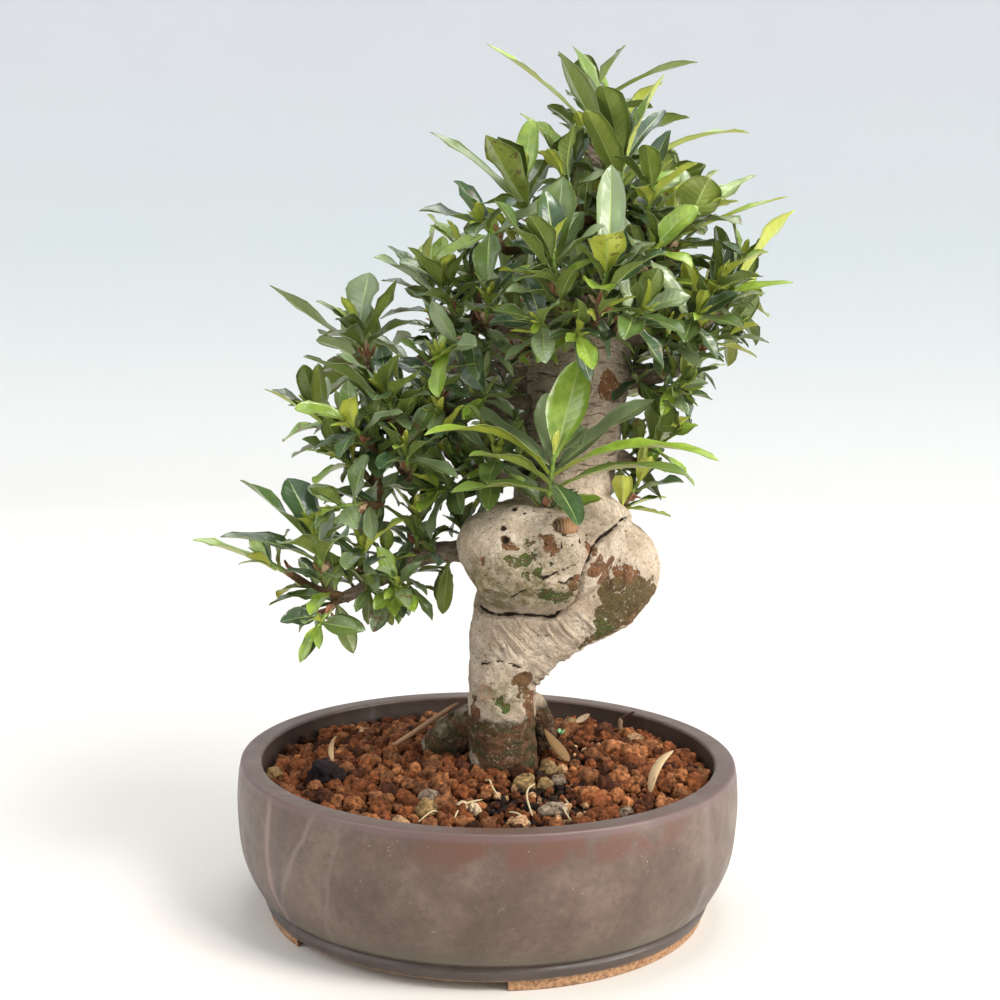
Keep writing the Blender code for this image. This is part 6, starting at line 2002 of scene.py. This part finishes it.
def make_sweep(material):
    """A pale floor that sweeps up all round."""
    outline = [(radius, 0.0) for radius in SWEEP_FLAT]
    for k in range(1, SWEEP_STEPS + 1):
        out, up, _ = polar(SWEEP_BEND, math.radians(90 * k / SWEEP_STEPS - 90))
        outline.append((SWEEP_FLAT[-1] + out, SWEEP_BEND + up))
    outline.append((SWEEP_FLAT[-1] + SWEEP_BEND, SWEEP_TOP))
    bm = bmesh.new()
    turns = [2 * math.pi * k / SWEEP_SIDES for k in range(SWEEP_SIDES)]
    rows = [[bm.verts.new(polar(radius, turn, z)) for turn in turns] for radius, z in outline]
    middle = bm.verts.new((0, 0, 0))
    for k in range(SWEEP_SIDES):
        after = (k + 1) % SWEEP_SIDES
        bm.faces.new((middle, rows[0][k], rows[0][after]))
        for first, second in zip(rows, rows[1:]):
            bm.faces.new((first[k], second[k], second[after], first[after]))
    add_object("studio_sweep", dressed(mesh_from("studio_sweep", bm), material))


def make_lights():
    """Four soft lamps, and pale air that lifts the shadows."""
    world = bpy.data.worlds.new("studio_air")
    bpy.context.scene.world = world
    world.use_nodes = True
    air = world.node_tree.nodes["Background"]
    air.inputs["Color"].default_value = AIR_COLOUR
    air.inputs["Strength"].default_value = WORLD_LIGHT
    for name, place, size, power, colour in LAMPS:
        light = bpy.data.lights.new(name, "AREA")
        light.shape = "SQUARE"
        light.size = size
        light.energy = power
        light.color = colour
        lamp = add_object(name, light)
        lamp.location = place
        lamp.rotation_euler = (Vector(LAMP_TARGET) - Vector(place)).to_track_quat("-Z", "Y").to_euler()


def make_camera():
    """The photo's camera."""
    lens = bpy.data.cameras.new("photo_camera")
    lens.sensor_width = CAMERA_SENSOR
    lens.lens = CAMERA_LENS
    lens.clip_start = 0.05
    camera = add_object("photo_camera", lens)
    camera.matrix_world = (Matrix.Translation(CAMERA_PLACE)
                           @ Matrix.Rotation(math.radians(90 - CAMERA_PITCH), 4, "X")
                           @ Matrix.Rotation(math.radians(CAMERA_ROLL), 4, "Z"))
    bpy.context.scene.camera = camera
    bpy.context.scene.view_settings.view_transform = "Standard"


def main():
    noise.seed_set(SEED)       # without it noise_vector changes with the time of the run
    soil = grit_material("soil_grit", 1.2, 0.9, 0.9)
    stone = grit_material("stone", 2.4, 0.18, 0.7)
    dry = dry_material()
    bark = bark_material()
    leafy = {"leaf": leaf_material(), "stem": stem_material(), "dry": dry}
    fine_pot(glaze_material())
    screen = frame["nodes"]["drain_screen"]
    screen.data.materials.clear()
    screen.data.materials.append(screen_material())
    make_bed(soil)
    make_granules(soil)
    make_stones("pebbles", STONES, 4, 0.035, 0.22, (0, 3), random.Random(SEED + 4), stone)
    make_stones("charcoal", COAL, 5, 0.16, 0.55, (0.7, 0.7), random.Random(SEED + 5), soil)
    make_litter(dry)
    make_trunk_wood(bark)
    plan = plan_shoots()
    make_branch_wood(plan, bark)
    make_bud_scar(dry)
    guard = Guard()
    guard.add_plant(plan)
    for number, shoot in enumerate(plan):
        make_fine_shoot(shoot, placed_blades(shoot, number, guard), leafy)
    make_small_leaves(plan, leafy)
    make_sweep(studio_material())
    make_lights()
    make_camera()


main()
